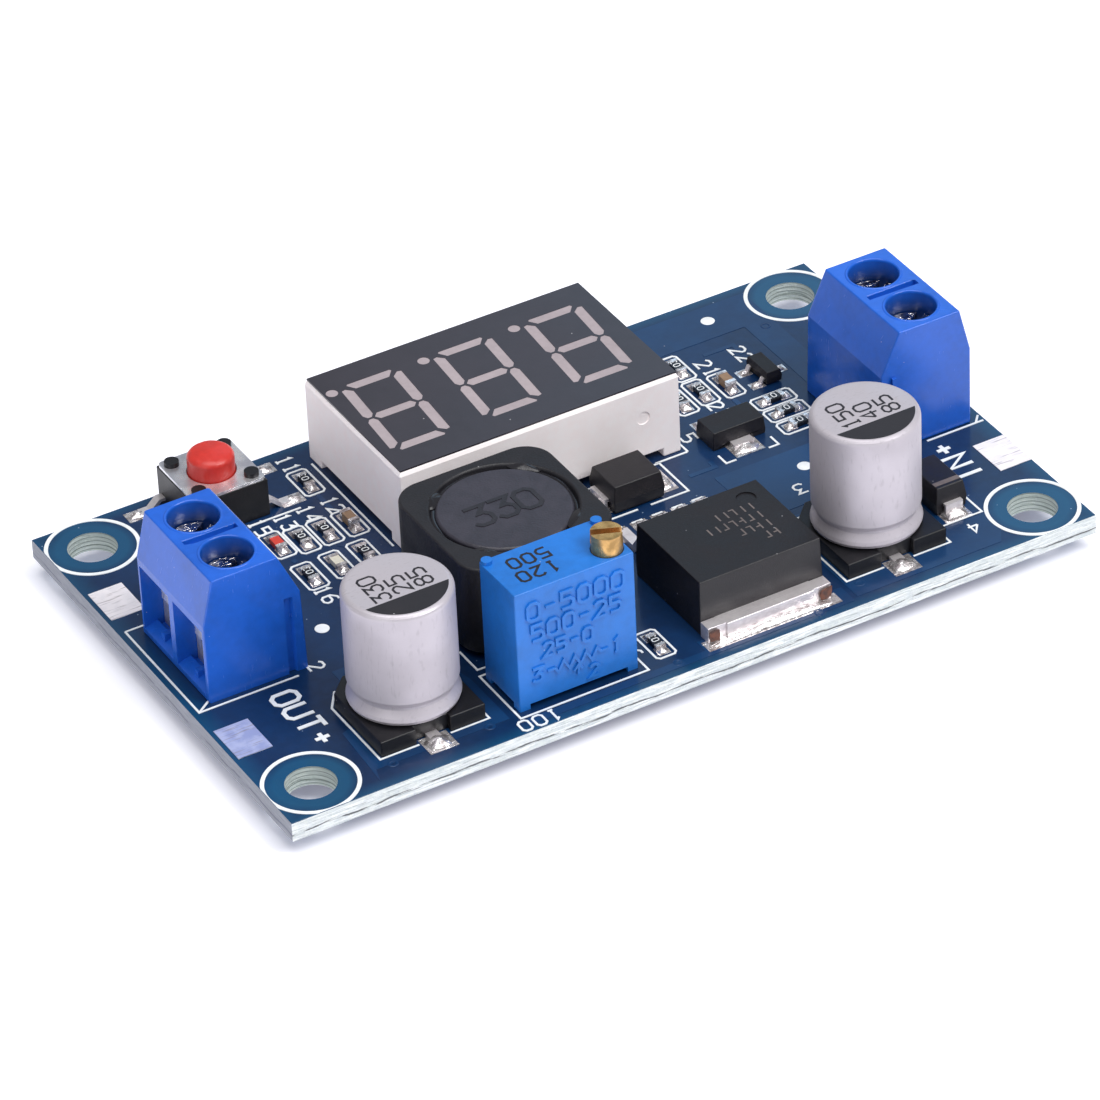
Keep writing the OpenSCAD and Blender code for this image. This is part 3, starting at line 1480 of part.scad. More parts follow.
pcb();
through_hole_solder();
out_terminal_housing();
out_terminal_contacts();
out_plus_guard();
out_minus_guard();
out_plus_screw();
out_minus_screw();
in_terminal_housing();
in_terminal_contacts();
in_plus_guard();
in_minus_guard();
in_plus_screw();
in_minus_screw();
trimmer_case();
trimmer_screw();
trimmer_wheel();
trimmer_plate();
trimmer_base();
trimmer_pins();
display_case();
display_face();
display_bars();
display_emitter_board();
display_pins();
inductor_shield();
inductor_drum();
inductor_winding();
inductor_terminals();
regulator_body();
regulator_tab();
regulator_leads();
out_capacitor_can();
out_capacitor_base();
out_capacitor_leads();
in_capacitor_can();
in_capacitor_base();
in_capacitor_leads();
button_base();
button_cover();
button_cap();
button_dome();
button_leads();
in_diode_body();
in_diode_straps();
out_diode_body();
out_diode_straps();
small_regulator_body();
small_regulator_leads();
reference_body();
reference_leads();
controller_body();
controller_leads();
chip_resistors();
chip_capacitors();
indicator_lights();
chip_ends();
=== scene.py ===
"""Dresses the buck converter module: finishes for every solid, printed marks, solder, and a studio."""

import json
import math

import bpy
import numpy as np
from mathutils import Matrix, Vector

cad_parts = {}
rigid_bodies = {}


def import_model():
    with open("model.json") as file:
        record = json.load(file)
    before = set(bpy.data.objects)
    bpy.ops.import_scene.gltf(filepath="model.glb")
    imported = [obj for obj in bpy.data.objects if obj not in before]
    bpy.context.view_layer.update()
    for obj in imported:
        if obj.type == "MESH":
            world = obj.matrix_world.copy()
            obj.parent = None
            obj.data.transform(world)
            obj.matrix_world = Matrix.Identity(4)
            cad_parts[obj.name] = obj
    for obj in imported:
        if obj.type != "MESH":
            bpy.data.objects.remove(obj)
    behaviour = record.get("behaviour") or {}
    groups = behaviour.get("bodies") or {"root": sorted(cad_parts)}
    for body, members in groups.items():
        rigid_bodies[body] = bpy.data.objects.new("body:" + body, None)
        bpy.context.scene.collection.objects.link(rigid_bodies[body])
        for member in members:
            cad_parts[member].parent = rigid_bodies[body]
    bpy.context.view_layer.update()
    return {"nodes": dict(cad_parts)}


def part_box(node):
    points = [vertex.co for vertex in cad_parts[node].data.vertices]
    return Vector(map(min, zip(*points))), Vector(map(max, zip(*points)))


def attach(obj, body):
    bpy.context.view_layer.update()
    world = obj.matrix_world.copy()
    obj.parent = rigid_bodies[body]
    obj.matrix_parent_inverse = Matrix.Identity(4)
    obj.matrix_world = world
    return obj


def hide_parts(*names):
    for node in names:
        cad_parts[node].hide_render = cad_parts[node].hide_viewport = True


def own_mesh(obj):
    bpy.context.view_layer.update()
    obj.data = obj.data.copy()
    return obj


bl_info = {
    "name": "Buck converter module dressing",
    "version": (1, 0, 0),
    "blender": (4, 5, 0),
    "location": "3D View > Sidebar > Module",
    "description": "Finishes, printed marks, solder and a studio for the packed module",
    "category": "Object",
}

MM = 0.001

for leftover in list(bpy.data.objects):
    bpy.data.objects.remove(leftover)
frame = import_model()


def span(node):
    """The lowest and highest corners of the node's box and its middle, in millimetres."""
    low, high = (np.array(corner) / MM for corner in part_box(node))
    return low, high, (low + high) / 2


def radius(node):
    """Half the width of the node's box, in millimetres."""
    low, high, _ = span(node)
    return (high[0] - low[0]) / 2


# Places on the board, in millimetres: its far corner, its top, the floor that its pins stand on,
# and how far the mounting holes lie in from its edges.

EDGE = span("pcb")[1][:2]
TOP = span("inductor_terminals")[0][2]
FLOOR = span("display_pins")[0][2]
HOLE_INSET = 3.3

# How deep a mark is rooted in what it stands on, deep and shallow, how far print stands out of a
# part, and the hair by which strokes that cross differ in height.

DEEP, SHALLOW, PRINT, STEP = -0.02, -0.01, 0.012, 0.002

SIDES = ("out", "in")
POLES = ("out_plus", "out_minus", "in_plus", "in_minus")
ONCE, MIRRORED, QUARTERS = [(1, 1)], [(-1, 1), (1, 1)], [(-1, -1), (-1, 1), (1, -1), (1, 1)]


# Shapes. Each is (points, faces), with faces as lists of point numbers, in millimetres.

def turns(count):
    """Even steps once round a circle, in radians."""
    return np.arange(count) * 2 * np.pi / count


def circle(at, reach, angle):
    """Points at a reach from at, with x along the angle's cos and y along its sin."""
    return np.stack([at[0] + reach * np.cos(angle), at[1] + reach * np.sin(angle)], -1)


def waves(seed, counts, angle):
    """Slow seeded waves round a ring: the sum of a sine for each count of waves, with a random
    height and start."""
    chance = np.random.default_rng(seed)
    heights = chance.normal(0, 1, len(counts))
    return heights @ np.sin(np.outer(counts, angle) + chance.uniform(0, 6, (len(counts), 1)))


def loft(rings, closed=False):
    """A skin through rings of points. Quads join ring i to ring i + 1 and run on round the ring.
    Unless the row of rings is closed, a fan to the middle of the first and last ring shuts it."""
    rings = np.asarray(rings, float)
    count, around = rings.shape[:2]
    points = rings.reshape(-1, 3)
    here, there = np.arange(around), (np.arange(around) + 1) % around
    first = np.arange(count if closed else count - 1)[:, None] * around
    second = (first + around) % (count * around)
    quads = np.stack([first + here, first + there, second + there, second + here], -1)
    faces = quads.reshape(-1, 4).tolist()
    if not closed:
        points = np.vstack([points, rings[0].mean(0), rings[-1].mean(0)])
        last, low, high = (count - 1) * around, count * around, count * around + 1
        faces += np.stack([there, here, np.full(around, low)], -1).tolist()
        faces += np.stack([last + here, last + there, np.full(around, high)], -1).tolist()
    return points, faces


def lathe(profile, at, around):
    """A profile of (radius, height) pairs turned about the upright line through at."""
    profile = np.asarray(profile, float)
    rings = np.empty((len(profile), around, 3))
    rings[..., :2] = circle(at, profile[:, :1], turns(around))
    rings[..., 2] = at[2] + profile[:, 1:]
    return rings


def ribbon(path, width, low, high):
    """A flat stroke. Its section is a rectangle, width across and from low to high, and at each
    point of the path it lies along the mitre: the sum of the two normals over 1 + their product.
    A path that ends where it starts makes a ring."""
    path = np.asarray(path, float)
    closed = np.allclose(path[0], path[-1])
    if closed:
        path = path[:-1]
    step = np.roll(path, -1, 0) - path if closed else np.diff(path, axis=0)
    unit = step / np.linalg.norm(step, axis=1, keepdims=True)
    normal = np.stack([-unit[:, 1], unit[:, 0]], -1)
    if closed:
        before, after = np.roll(normal, 1, 0), normal
    else:
        before, after = np.vstack([normal[:1], normal]), np.vstack([normal, normal[-1:]])
    share = 1 + (before * after).sum(1, keepdims=True)
    side = (before + after) / np.maximum(share, 0.3) * width / 2
    rings = np.zeros((len(path), 4, 3))
    rings[:, 0, :2] = rings[:, 3, :2] = path + side
    rings[:, 1, :2] = rings[:, 2, :2] = path - side
    rings[:, :2, 2] = low
    rings[:, 2:, 2] = high
    return loft(rings, closed)


def plate(outline, low, high):
    """A flat plate: the outline at low and at high, with a wall between, and one face on each."""
    outline = np.asarray(outline, float)
    count = len(outline)
    level = np.ones((count, 1))
    points = np.vstack([np.hstack([outline, level * low]), np.hstack([outline, level * high])])
    here, there = np.arange(count), (np.arange(count) + 1) % count
    walls = np.stack([here, there, there + count, here + count], -1).tolist()
    return points, walls + [here[::-1].tolist(), (here + count).tolist()]


def oblong(low, high):
    """The outline of a rectangle from its low corner to its high one."""
    return [(low[0], low[1]), (high[0], low[1]), (high[0], high[1]), (low[0], high[1])]


def bead(at, half, height, power=2.6, turn=0.0, seed=0, around=28):
    """Solder or glue that has flowed over its ground. The footprint's x and y go with cos and sin,
    each raised to 2 / power and times half, so a power of 2 is an ellipse and a high one nears a
    rectangle. Ring by ring, share r of the footprint has the height height * (1 - r) ** (1 / 1.6),
    with slow seeded lumps in it."""
    shares = np.linspace(1, 0.04, 9)
    angle = turns(around)
    cos, sin = np.cos(angle), np.sin(angle)
    x = np.sign(cos) * np.abs(cos) ** (2 / power) * half[0]
    y = np.sign(sin) * np.abs(sin) ** (2 / power) * half[1]
    foot = np.stack([x * math.cos(turn) - y * math.sin(turn),
                     x * math.sin(turn) + y * math.cos(turn), np.zeros(around)], -1)
    lumps = waves(seed, (2, 3, 5), angle)
    rings = foot[None] * shares[:, None, None]
    rings[..., 2] = height * ((1 - shares) ** (1 / 1.6))[:, None] * (1 + 0.06 * lumps * shares[:, None])
    rings[..., :2] *= 1 + 0.03 * lumps[:, None]
    skirt = rings[:1].copy()
    skirt[..., 2] = DEEP
    return loft(np.concatenate([skirt, rings]) + np.asarray(at, float))


def placed(shapes, origin, turn=0.0, upright=False):
    """The shapes set down at the origin, turned by some degrees on the flat. Upright ones have
    their y along z instead."""
    turn = math.radians(turn)
    right = (math.cos(turn), math.sin(turn), 0)
    up = (0, 0, 1) if upright else (-math.sin(turn), math.cos(turn), 0)
    basis = np.stack([right, up, np.cross(right, up)])
    return [(points @ basis + np.asarray(origin, float), faces) for points, faces in shapes]


def volume(points, faces):
    """Six times the closed skin's volume: the sum of each fan triangle's triple product."""
    total = 0.0
    for size in {len(f) for f in faces}:
        corner = points[np.array([f for f in faces if len(f) == size])]
        for i in range(1, size - 1):
            total += (corner[:, 0] * np.cross(corner[:, i], corner[:, i + 1])).sum()
    return total


def piece(name, shapes, finish, angle=40):
    """One piece made of closed skins, each turned so that its faces point outwards."""
    points, faces, start = [], [], 0
    for shape_points, shape_faces in shapes:
        if volume(shape_points - shape_points.mean(0), shape_faces) < 0:
            shape_faces = [f[::-1] for f in shape_faces]
        points.append(shape_points)
        faces += [[n + start for n in f] for f in shape_faces]
        start += len(shape_points)
    mesh = bpy.data.meshes.new(name)
    mesh.from_pydata((np.vstack(points) * MM).tolist(), [], faces)
    mesh.polygons.foreach_set("use_smooth", np.ones(len(mesh.polygons), bool))
    mesh.set_sharp_from_angle(angle=math.radians(angle))
    mesh.materials.append(bpy.data.materials[finish])
    mesh.update()
    made = bpy.data.objects.new(name, mesh)
    bpy.context.scene.collection.objects.link(made)
    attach(made, "board")
    return made


# Letters and numbers as strokes on a grid 4 wide and 6 high.

GLYPHS = {
    "0": [[(1, 0), (3, 0), (4, 1), (4, 5), (3, 6), (1, 6), (0, 5), (0, 1), (1, 0)]],
    "1": [[(1, 5), (2, 6), (2, 0)], [(1, 0), (3, 0)]],
    "2": [[(0, 5), (1, 6), (3, 6), (4, 5), (4, 4), (0, 0), (4, 0)]],
    "3": [[(0, 6), (4, 6), (2, 3.6), (3, 3.6), (4, 2.6), (4, 1), (3, 0), (1, 0), (0, 1)]],
    "4": [[(3, 0), (3, 6), (0, 2)], [(0, 2), (4, 2)]],
    "5": [[(4, 6), (0, 6), (0, 3.4), (3, 3.4), (4, 2.4), (4, 1), (3, 0), (0, 0)]],
    "6": [[(3.5, 6), (2, 6), (0, 4), (0, 1), (1, 0), (3, 0), (4, 1), (4, 2.4), (3, 3.4)],
          [(3, 3.4), (0, 3.4)]],
    "7": [[(0, 6), (4, 6), (1.5, 0)]],
    "8": [[(1, 3.2), (0, 4.2), (0, 5), (1, 6), (3, 6), (4, 5), (4, 4.2), (3, 3.2), (1, 3.2)],
          [(1, 3.2), (0, 2.2), (0, 1), (1, 0), (3, 0), (4, 1), (4, 2.2), (3, 3.2)]],
    "U": [[(0, 6), (0, 1), (1, 0), (3, 0), (4, 1), (4, 6)]],
    "T": [[(0, 6), (4, 6)], [(2, 6), (2, 0)]],
    "I": [[(2, 0), (2, 6)]],
    "N": [[(0, 0), (0, 6), (4, 0), (4, 6)]],
    "+": [[(0.3, 3), (3.7, 3)], [(2, 1.3), (2, 4.7)]],
    "-": [[(0.3, 3), (3.7, 3)]],
}
GLYPHS["O"] = GLYPHS["0"]


def lettering(words, size, width, levels, at, turn=0.0, pitch=1.5):
    """The words as strokes, size high and two thirds as wide, centred on at and turned by some
    degrees. They run from one level to the other, each a hair above the one before."""
    unit = size / 6
    step = 4 * unit * pitch
    left = -(len(words) - 1) * step / 2 - 2 * unit
    shapes = []
    for place, letter in enumerate(words):
        for stroke in GLYPHS[letter]:
            path = np.array(stroke) * unit + (left + place * step, -size / 2)
            shapes.append(ribbon(path, width, levels[0], levels[1] + (len(shapes) % 5) * STEP))
    return placed(shapes, at, turn)


# Colours, nodes and the effects that several finishes share.

def linear(colour):
    """Linear light of a colour setting by its name, or of an sRGB colour of three numbers up to
    255. A colour of four numbers is linear already."""
    if isinstance(colour, str):
        return tuple(getattr(bpy.context.scene.module_colours, colour))
    if len(colour) == 4:
        return colour
    value = np.array(colour, float) / 255
    return (*np.where(value <= 0.04045, value / 12.92, ((value + 0.055) / 1.055) ** 2.4), 1.0)


def shade(colour, factor):
    """A colour as linear light, times a factor."""
    return (*np.clip(np.array(linear(colour)[:3]) * factor, 0, 1), 1.0)


class Nodes:
    """A node tree with short ways to add to it. An input takes a socket or a plain value."""

    def __init__(self, tree):
        self.tree = tree

    def add(self, kind, inputs=None, **settings):
        """A node of that kind."""
        made = self.tree.nodes.new(kind)
        for key, value in settings.items():
            setattr(made, key, value)
        for key, value in (inputs or {}).items():
            if isinstance(value, bpy.types.NodeSocket):
                self.tree.links.new(value, made.inputs[key])
            else:
                made.inputs[key].default_value = value
        return made

    def math(self, operation, a, b=0.0):
        """One sum on one or two values."""
        return self.add("ShaderNodeMath", {0: a, 1: b}, operation=operation).outputs[0]

    def times(self, a, b):
        """The product of two values."""
        return self.math("MULTIPLY", a, b)

    def plus(self, a, b):
        """The sum of two values."""
        return self.math("ADD", a, b)

    def minus(self, a, b):
        """The first value less the second."""
        return self.math("SUBTRACT", a, b)

    def ramp(self, value, low, high, to_low=0.0, to_high=1.0, shape="LINEAR"):
        """The value moved from one range to another, held at both ends."""
        ends = {0: value, 1: low, 2: high, 3: to_low, 4: to_high}
        return self.add("ShaderNodeMapRange", ends, interpolation_type=shape).outputs[0]

    def stretch(self, point, by):
        """The point with each of its three numbers times its own factor."""
        return self.add("ShaderNodeVectorMath", {0: point, 1: by}, operation="MULTIPLY").outputs[0]

    def noise(self, point, scale, detail):
        """Soft noise at the point."""
        takes = {"Vector": point, "Scale": scale, "Detail": detail}
        return self.add("ShaderNodeTexNoise", takes).outputs["Fac"]


FLOAT = "NodeSocketFloat"


class Effect(Nodes):
    """A shader node group that gives one value from a point in millimetres and some numbers."""

    def __init__(self, name, gives, **takes):
        super().__init__(bpy.data.node_groups.new(name, "ShaderNodeTree"))
        sockets = self.tree.interface
        sockets.new_socket("Point", in_out="INPUT", socket_type="NodeSocketVector")
        for label, value in takes.items():
            sockets.new_socket(label, in_out="INPUT", socket_type=FLOAT).default_value = value
        sockets.new_socket(gives, in_out="OUTPUT", socket_type=FLOAT)
        self.into = self.add("NodeGroupInput").outputs

    def per(self, size):
        """One over the input of that name."""
        return self.math("DIVIDE", 1.0, self.into[size])

    def cells(self, size):
        """Cells as wide as the input of that name."""
        return self.add("ShaderNodeTexVoronoi", {"Vector": self.into["Point"],
                                                 "Scale": self.per(size)}).outputs

    def give(self, value):
        """Joins the value to the group's output."""
        self.add("NodeGroupOutput", {0: value})


def make_effects():
    """Clouds, the grain of moulded plastic, scratches along one way, and specks of dust."""
    made = Effect("Cloudy mask", "Mask", Size=5.0, From=0.4, To=0.6)
    noise = made.noise(made.into["Point"], made.per("Size"), 5.0)
    made.give(made.ramp(noise, made.into["From"], made.into["To"], shape="SMOOTHSTEP"))

    made = Effect("Moulded grain", "Height", Size=0.2)
    noise = made.noise(made.into["Point"], made.per("Size"), 3.0)
    made.give(made.times(made.plus(noise, made.cells("Size")["Distance"]), 0.5))

    made = Effect("Fine scratches", "Mask", Length=3.0, Turn=0.5, Share=0.1)
    turned = made.add("ShaderNodeVectorRotate", {"Vector": made.into["Point"],
                                                 "Angle": made.into["Turn"]}).outputs[0]
    scales = made.add("ShaderNodeCombineXYZ", {0: made.per("Length"), 1: 7.0, 2: 1.0}).outputs[0]
    noise = made.noise(made.stretch(turned, scales), 1.0, 2.0)
    made.give(made.ramp(noise, made.minus(0.72, made.into["Share"]), 0.76))

    made = Effect("Dust specks", "Mask", Spacing=1.0, Share=0.08)
    cells = made.cells("Spacing")
    near = made.math("LESS_THAN", cells["Distance"], made.into["Share"])
    chance = made.add("ShaderNodeSeparateColor", {0: cells["Color"]}).outputs[0]
    made.give(made.times(near, made.math("LESS_THAN", chance, 0.35)))


class Finish(Nodes):
    """A material with its Principled shader, worn by some solids, and the object's own point in
    millimetres."""

    def __init__(self, name, solids="", **values):
        self.material = bpy.data.materials.new(name)
        for solid in solids.split():
            frame["nodes"][solid].data.materials.append(self.material)
        self.material.use_nodes = True
        super().__init__(self.material.node_tree)
        self.shader = self.tree.nodes["Principled BSDF"]
        for key, value in values.items():
            self.shader.inputs[key.replace("_", " ")].default_value = value
        where = self.add("ShaderNodeTexCoord").outputs["Object"]
        self.point = self.stretch(where, (1000, 1000, 1000))
        self.x, self.y, self.z = self.add("ShaderNodeSeparateXYZ", {0: self.point}).outputs

    def use(self, name, **values):
        """One of the shared effects, with its inputs by name."""
        group = bpy.data.node_groups[name]
        return self.add("ShaderNodeGroup", {"Point": self.point, **values}, node_tree=group).outputs[0]

    def cloud(self, size, low=0.35, high=0.65, **point):
        """Clouds of a size: nothing below the low noise value and full above the high one."""
        return self.use("Cloudy mask", Size=size, From=low, To=high, **point)

    def band(self, value, at, reach):
        """One where the value is at, fading softly to nothing within reach of it."""
        away = self.math("ABSOLUTE", self.minus(value, at))
        return self.ramp(away, 0.0, reach, 1.0, 0.0, "SMOOTHSTEP")

    def reach(self, x, y, at):
        """How far x and y are from a point on the flat."""
        across, along = self.minus(x, at[0]), self.minus(y, at[1])
        return self.math("SQRT", self.plus(self.times(across, across), self.times(along, along)))

    def mix(self, share, a, b):
        """Two colours mixed by a share."""
        a, b = (c if isinstance(c, bpy.types.NodeSocket) else linear(c) for c in (a, b))
        return self.add("ShaderNodeMix", {0: share, 6: a, 7: b}, data_type="RGBA").outputs[2]

    def between(self, share, a, b):
        """Two values mixed by a share."""
        return self.add("ShaderNodeMix", {0: share, 2: a, 3: b}).outputs[0]

    def over(self, base, mask, share, colour):
        """The base with a share of the colour over it where the mask is one."""
        return self.mix(self.times(mask, share), base, colour)

    def colour(self):
        """The socket that feeds the base colour so far."""
        return self.shader.inputs["Base Color"].links[0].from_socket

    def set(self, **sockets):
        """Joins sockets to the shader's inputs by name."""
        for key, value in sockets.items():
            self.tree.links.new(value, self.shader.inputs[key.replace("_", " ")])

    def bump(self, height, depth):
        """A bump, depth in millimetres for a height of one."""
        self.set(Normal=self.add("ShaderNodeBump", {"Height": height,
                                                    "Distance": depth * MM}).outputs[0])


def deeper(colour, deep):
    """A finish's deep colour, which is its own or a factor of the finish's first colour."""
    return shade(colour, deep) if isinstance(deep, float) else deep


def moulded(name, solids, colour, deep, rough, grain=0.15, depth=0.006, clouds=6.0, dust=0.5,
            **values):
    """Moulded plastic: two near colours in clouds, fine grain, dull patches and a little dust."""
    made = Finish(name, solids, **values)
    cloud = made.cloud(clouds)
    base = made.mix(cloud, deeper(colour, deep), colour)
    base = made.over(base, made.cloud(grain * 4, 0.3, 0.7), 0.25, shade(colour, 1.25))
    base = made.over(base, made.use("Dust specks", Spacing=1.3, Share=0.045), dust, (222, 220, 224))
    lines = made.use("Fine scratches", Length=4.0, Turn=0.7, Share=0.03)
    rub = made.ramp(cloud, 0, 1, rough * 0.88, min(rough * 1.12, 1))
    made.set(Base_Color=base, Roughness=made.plus(rub, made.times(lines, 0.08)))
    made.bump(made.plus(made.use("Moulded grain", Size=grain), made.times(lines, -0.4)), depth)
    return made


def metal(name, solids, colour, deep, rough, brush=4.0, depth=0.002, clouds=1.5, metallic=0.78):
    """Plated or bare metal: a drawn grain, cloudy tarnish in a deeper colour, and scratches. On the
    well screws the deep colour is a dark blue grey, painted shade.
    """
    made = Finish(name, solids, Metallic=metallic)
    deep = deeper(colour, deep)
    cloud = made.cloud(clouds, 0.35, 0.7)
    lines = made.use("Fine scratches", Length=brush, Turn=0.0, Share=0.14)
    base = made.over(made.mix(cloud, colour, deep), lines, 0.35, shade(deep, 0.7))
    rub = made.ramp(cloud, 0, 1, rough, rough * 1.5)
    made.set(Base_Color=base, Roughness=made.plus(rub, made.times(lines, 0.12)))
    made.bump(made.plus(made.times(made.use("Moulded grain", Size=0.12), 0.4), lines), depth)


def board_finish():
    """The board: by where a point lies and which way it faces it is mask, pad metal, sawn edge
    or bare drilled wall. Copper areas under the mask lighten it, and its rim thins to teal."""
    made = Finish("board_laminate", "pcb", Coat_Roughness=0.16, Specular_IOR_Level=0.2)
    cloud = made.cloud(9.0, 0.3, 0.7)
    base = made.mix(cloud, "mask_deep", "mask")
    base = made.over(base, made.cloud(0.8, 0.35, 0.7), 0.2, shade("mask", 1.5))
    far_x, far_y = (made.math("ABSOLUTE", way) for way in (made.x, made.y))
    rim = made.math("MAXIMUM", made.ramp(far_x, EDGE[0] - 1.6, EDGE[0] - 0.1),
                    made.ramp(far_y, EDGE[1] - 1.1, EDGE[1] - 0.1))
    base = made.over(base, rim, 0.5, "mask_edge")
    reach = made.reach(far_x, far_y, EDGE - HOLE_INSET)
    base = made.mix(made.ramp(reach, 3.4, 2.6, 0, 0.7), base, "mask_edge")
    base = made.over(base, made.use("Dust specks", Spacing=1.1, Share=0.05), 0.5, (170, 190, 214))
    # Sawn edge, with dark and faint broken lines along it, and drilled walls in layers
    sheet = made.stretch(made.point, (0.5, 0.5, 7.0))
    weave = made.cloud(0.8, Point=sheet)
    cut = made.cloud(0.35, 0.35, 0.7)
    dash = made.cloud(1.1, 0.42, 0.5, Point=sheet)
    level = made.minus(made.z, made.times(made.cloud(3.0, 0.2, 0.8), 0.3))
    streak = made.times(made.band(level, 0.42, 0.14), dash)
    faint = made.times(made.band(level, 0.95, 0.08), made.minus(1.0, dash))
    wall = made.ramp(reach, 2.3, 2.0)
    layer = made.band(made.math("MODULO", made.times(made.z, 2.9), 1.0), 0.5, 0.2)
    edge = made.mix(weave, "laminate_deep", "laminate")
    for mask, share, colour in (
        (cut, 0.35, (236, 240, 232)), (streak, 0.95, (52, 54, 60)), (faint, 0.45, (120, 128, 132)),
        (wall, 0.6, (168, 182, 174)), (made.times(wall, layer), 0.7, (92, 106, 100)),
    ):
        edge = made.over(edge, mask, share, colour)
    facing = made.add("ShaderNodeNewGeometry").outputs["True Normal"]
    ways = made.add("ShaderNodeSeparateXYZ", {0: facing}).outputs
    end = made.math("GREATER_THAN", made.math("ABSOLUTE", ways[0]), 0.8)
    edge = made.mix(made.times(end, made.minus(0.75, wall)), edge, (132, 134, 150))
    side = made.math("LESS_THAN", made.math("ABSOLUTE", ways[2]), 0.5)
    base = made.mix(side, base, edge)
    # Bare pads: the one at the near left is tinted lavender blue
    pad = made.math("GREATER_THAN", made.z, TOP + 0.02)
    tarnish = made.cloud(0.9)
    dull = made.mix(tarnish, (170, 178, 214), (146, 156, 200))
    near_left = made.times(made.math("LESS_THAN", made.x, 0.0), made.math("LESS_THAN", made.y, 0.0))
    bare = made.mix(near_left, made.mix(tarnish, "tin", "tin_deep"), dull)
    lines = made.use("Fine scratches", Length=1.6, Turn=0.0, Share=0.16)
    base = made.mix(pad, base, made.over(bare, lines, 0.75, (132, 122, 124)))
    rough = made.between(side, made.ramp(cloud, 0, 1, 0.36, 0.5), 0.85)
    coat = made.times(made.minus(1.0, side), made.minus(1.0, pad))
    made.set(Base_Color=base, Roughness=made.between(pad, rough, 0.5),
             Metallic=made.times(pad, 0.12), Coat_Weight=made.times(coat, 0.5))
    saw = made.times(made.plus(made.times(weave, 1.2), cut), side)
    made.bump(made.plus(made.use("Moulded grain", Size=0.45), made.times(saw, 6.0)), 0.006)


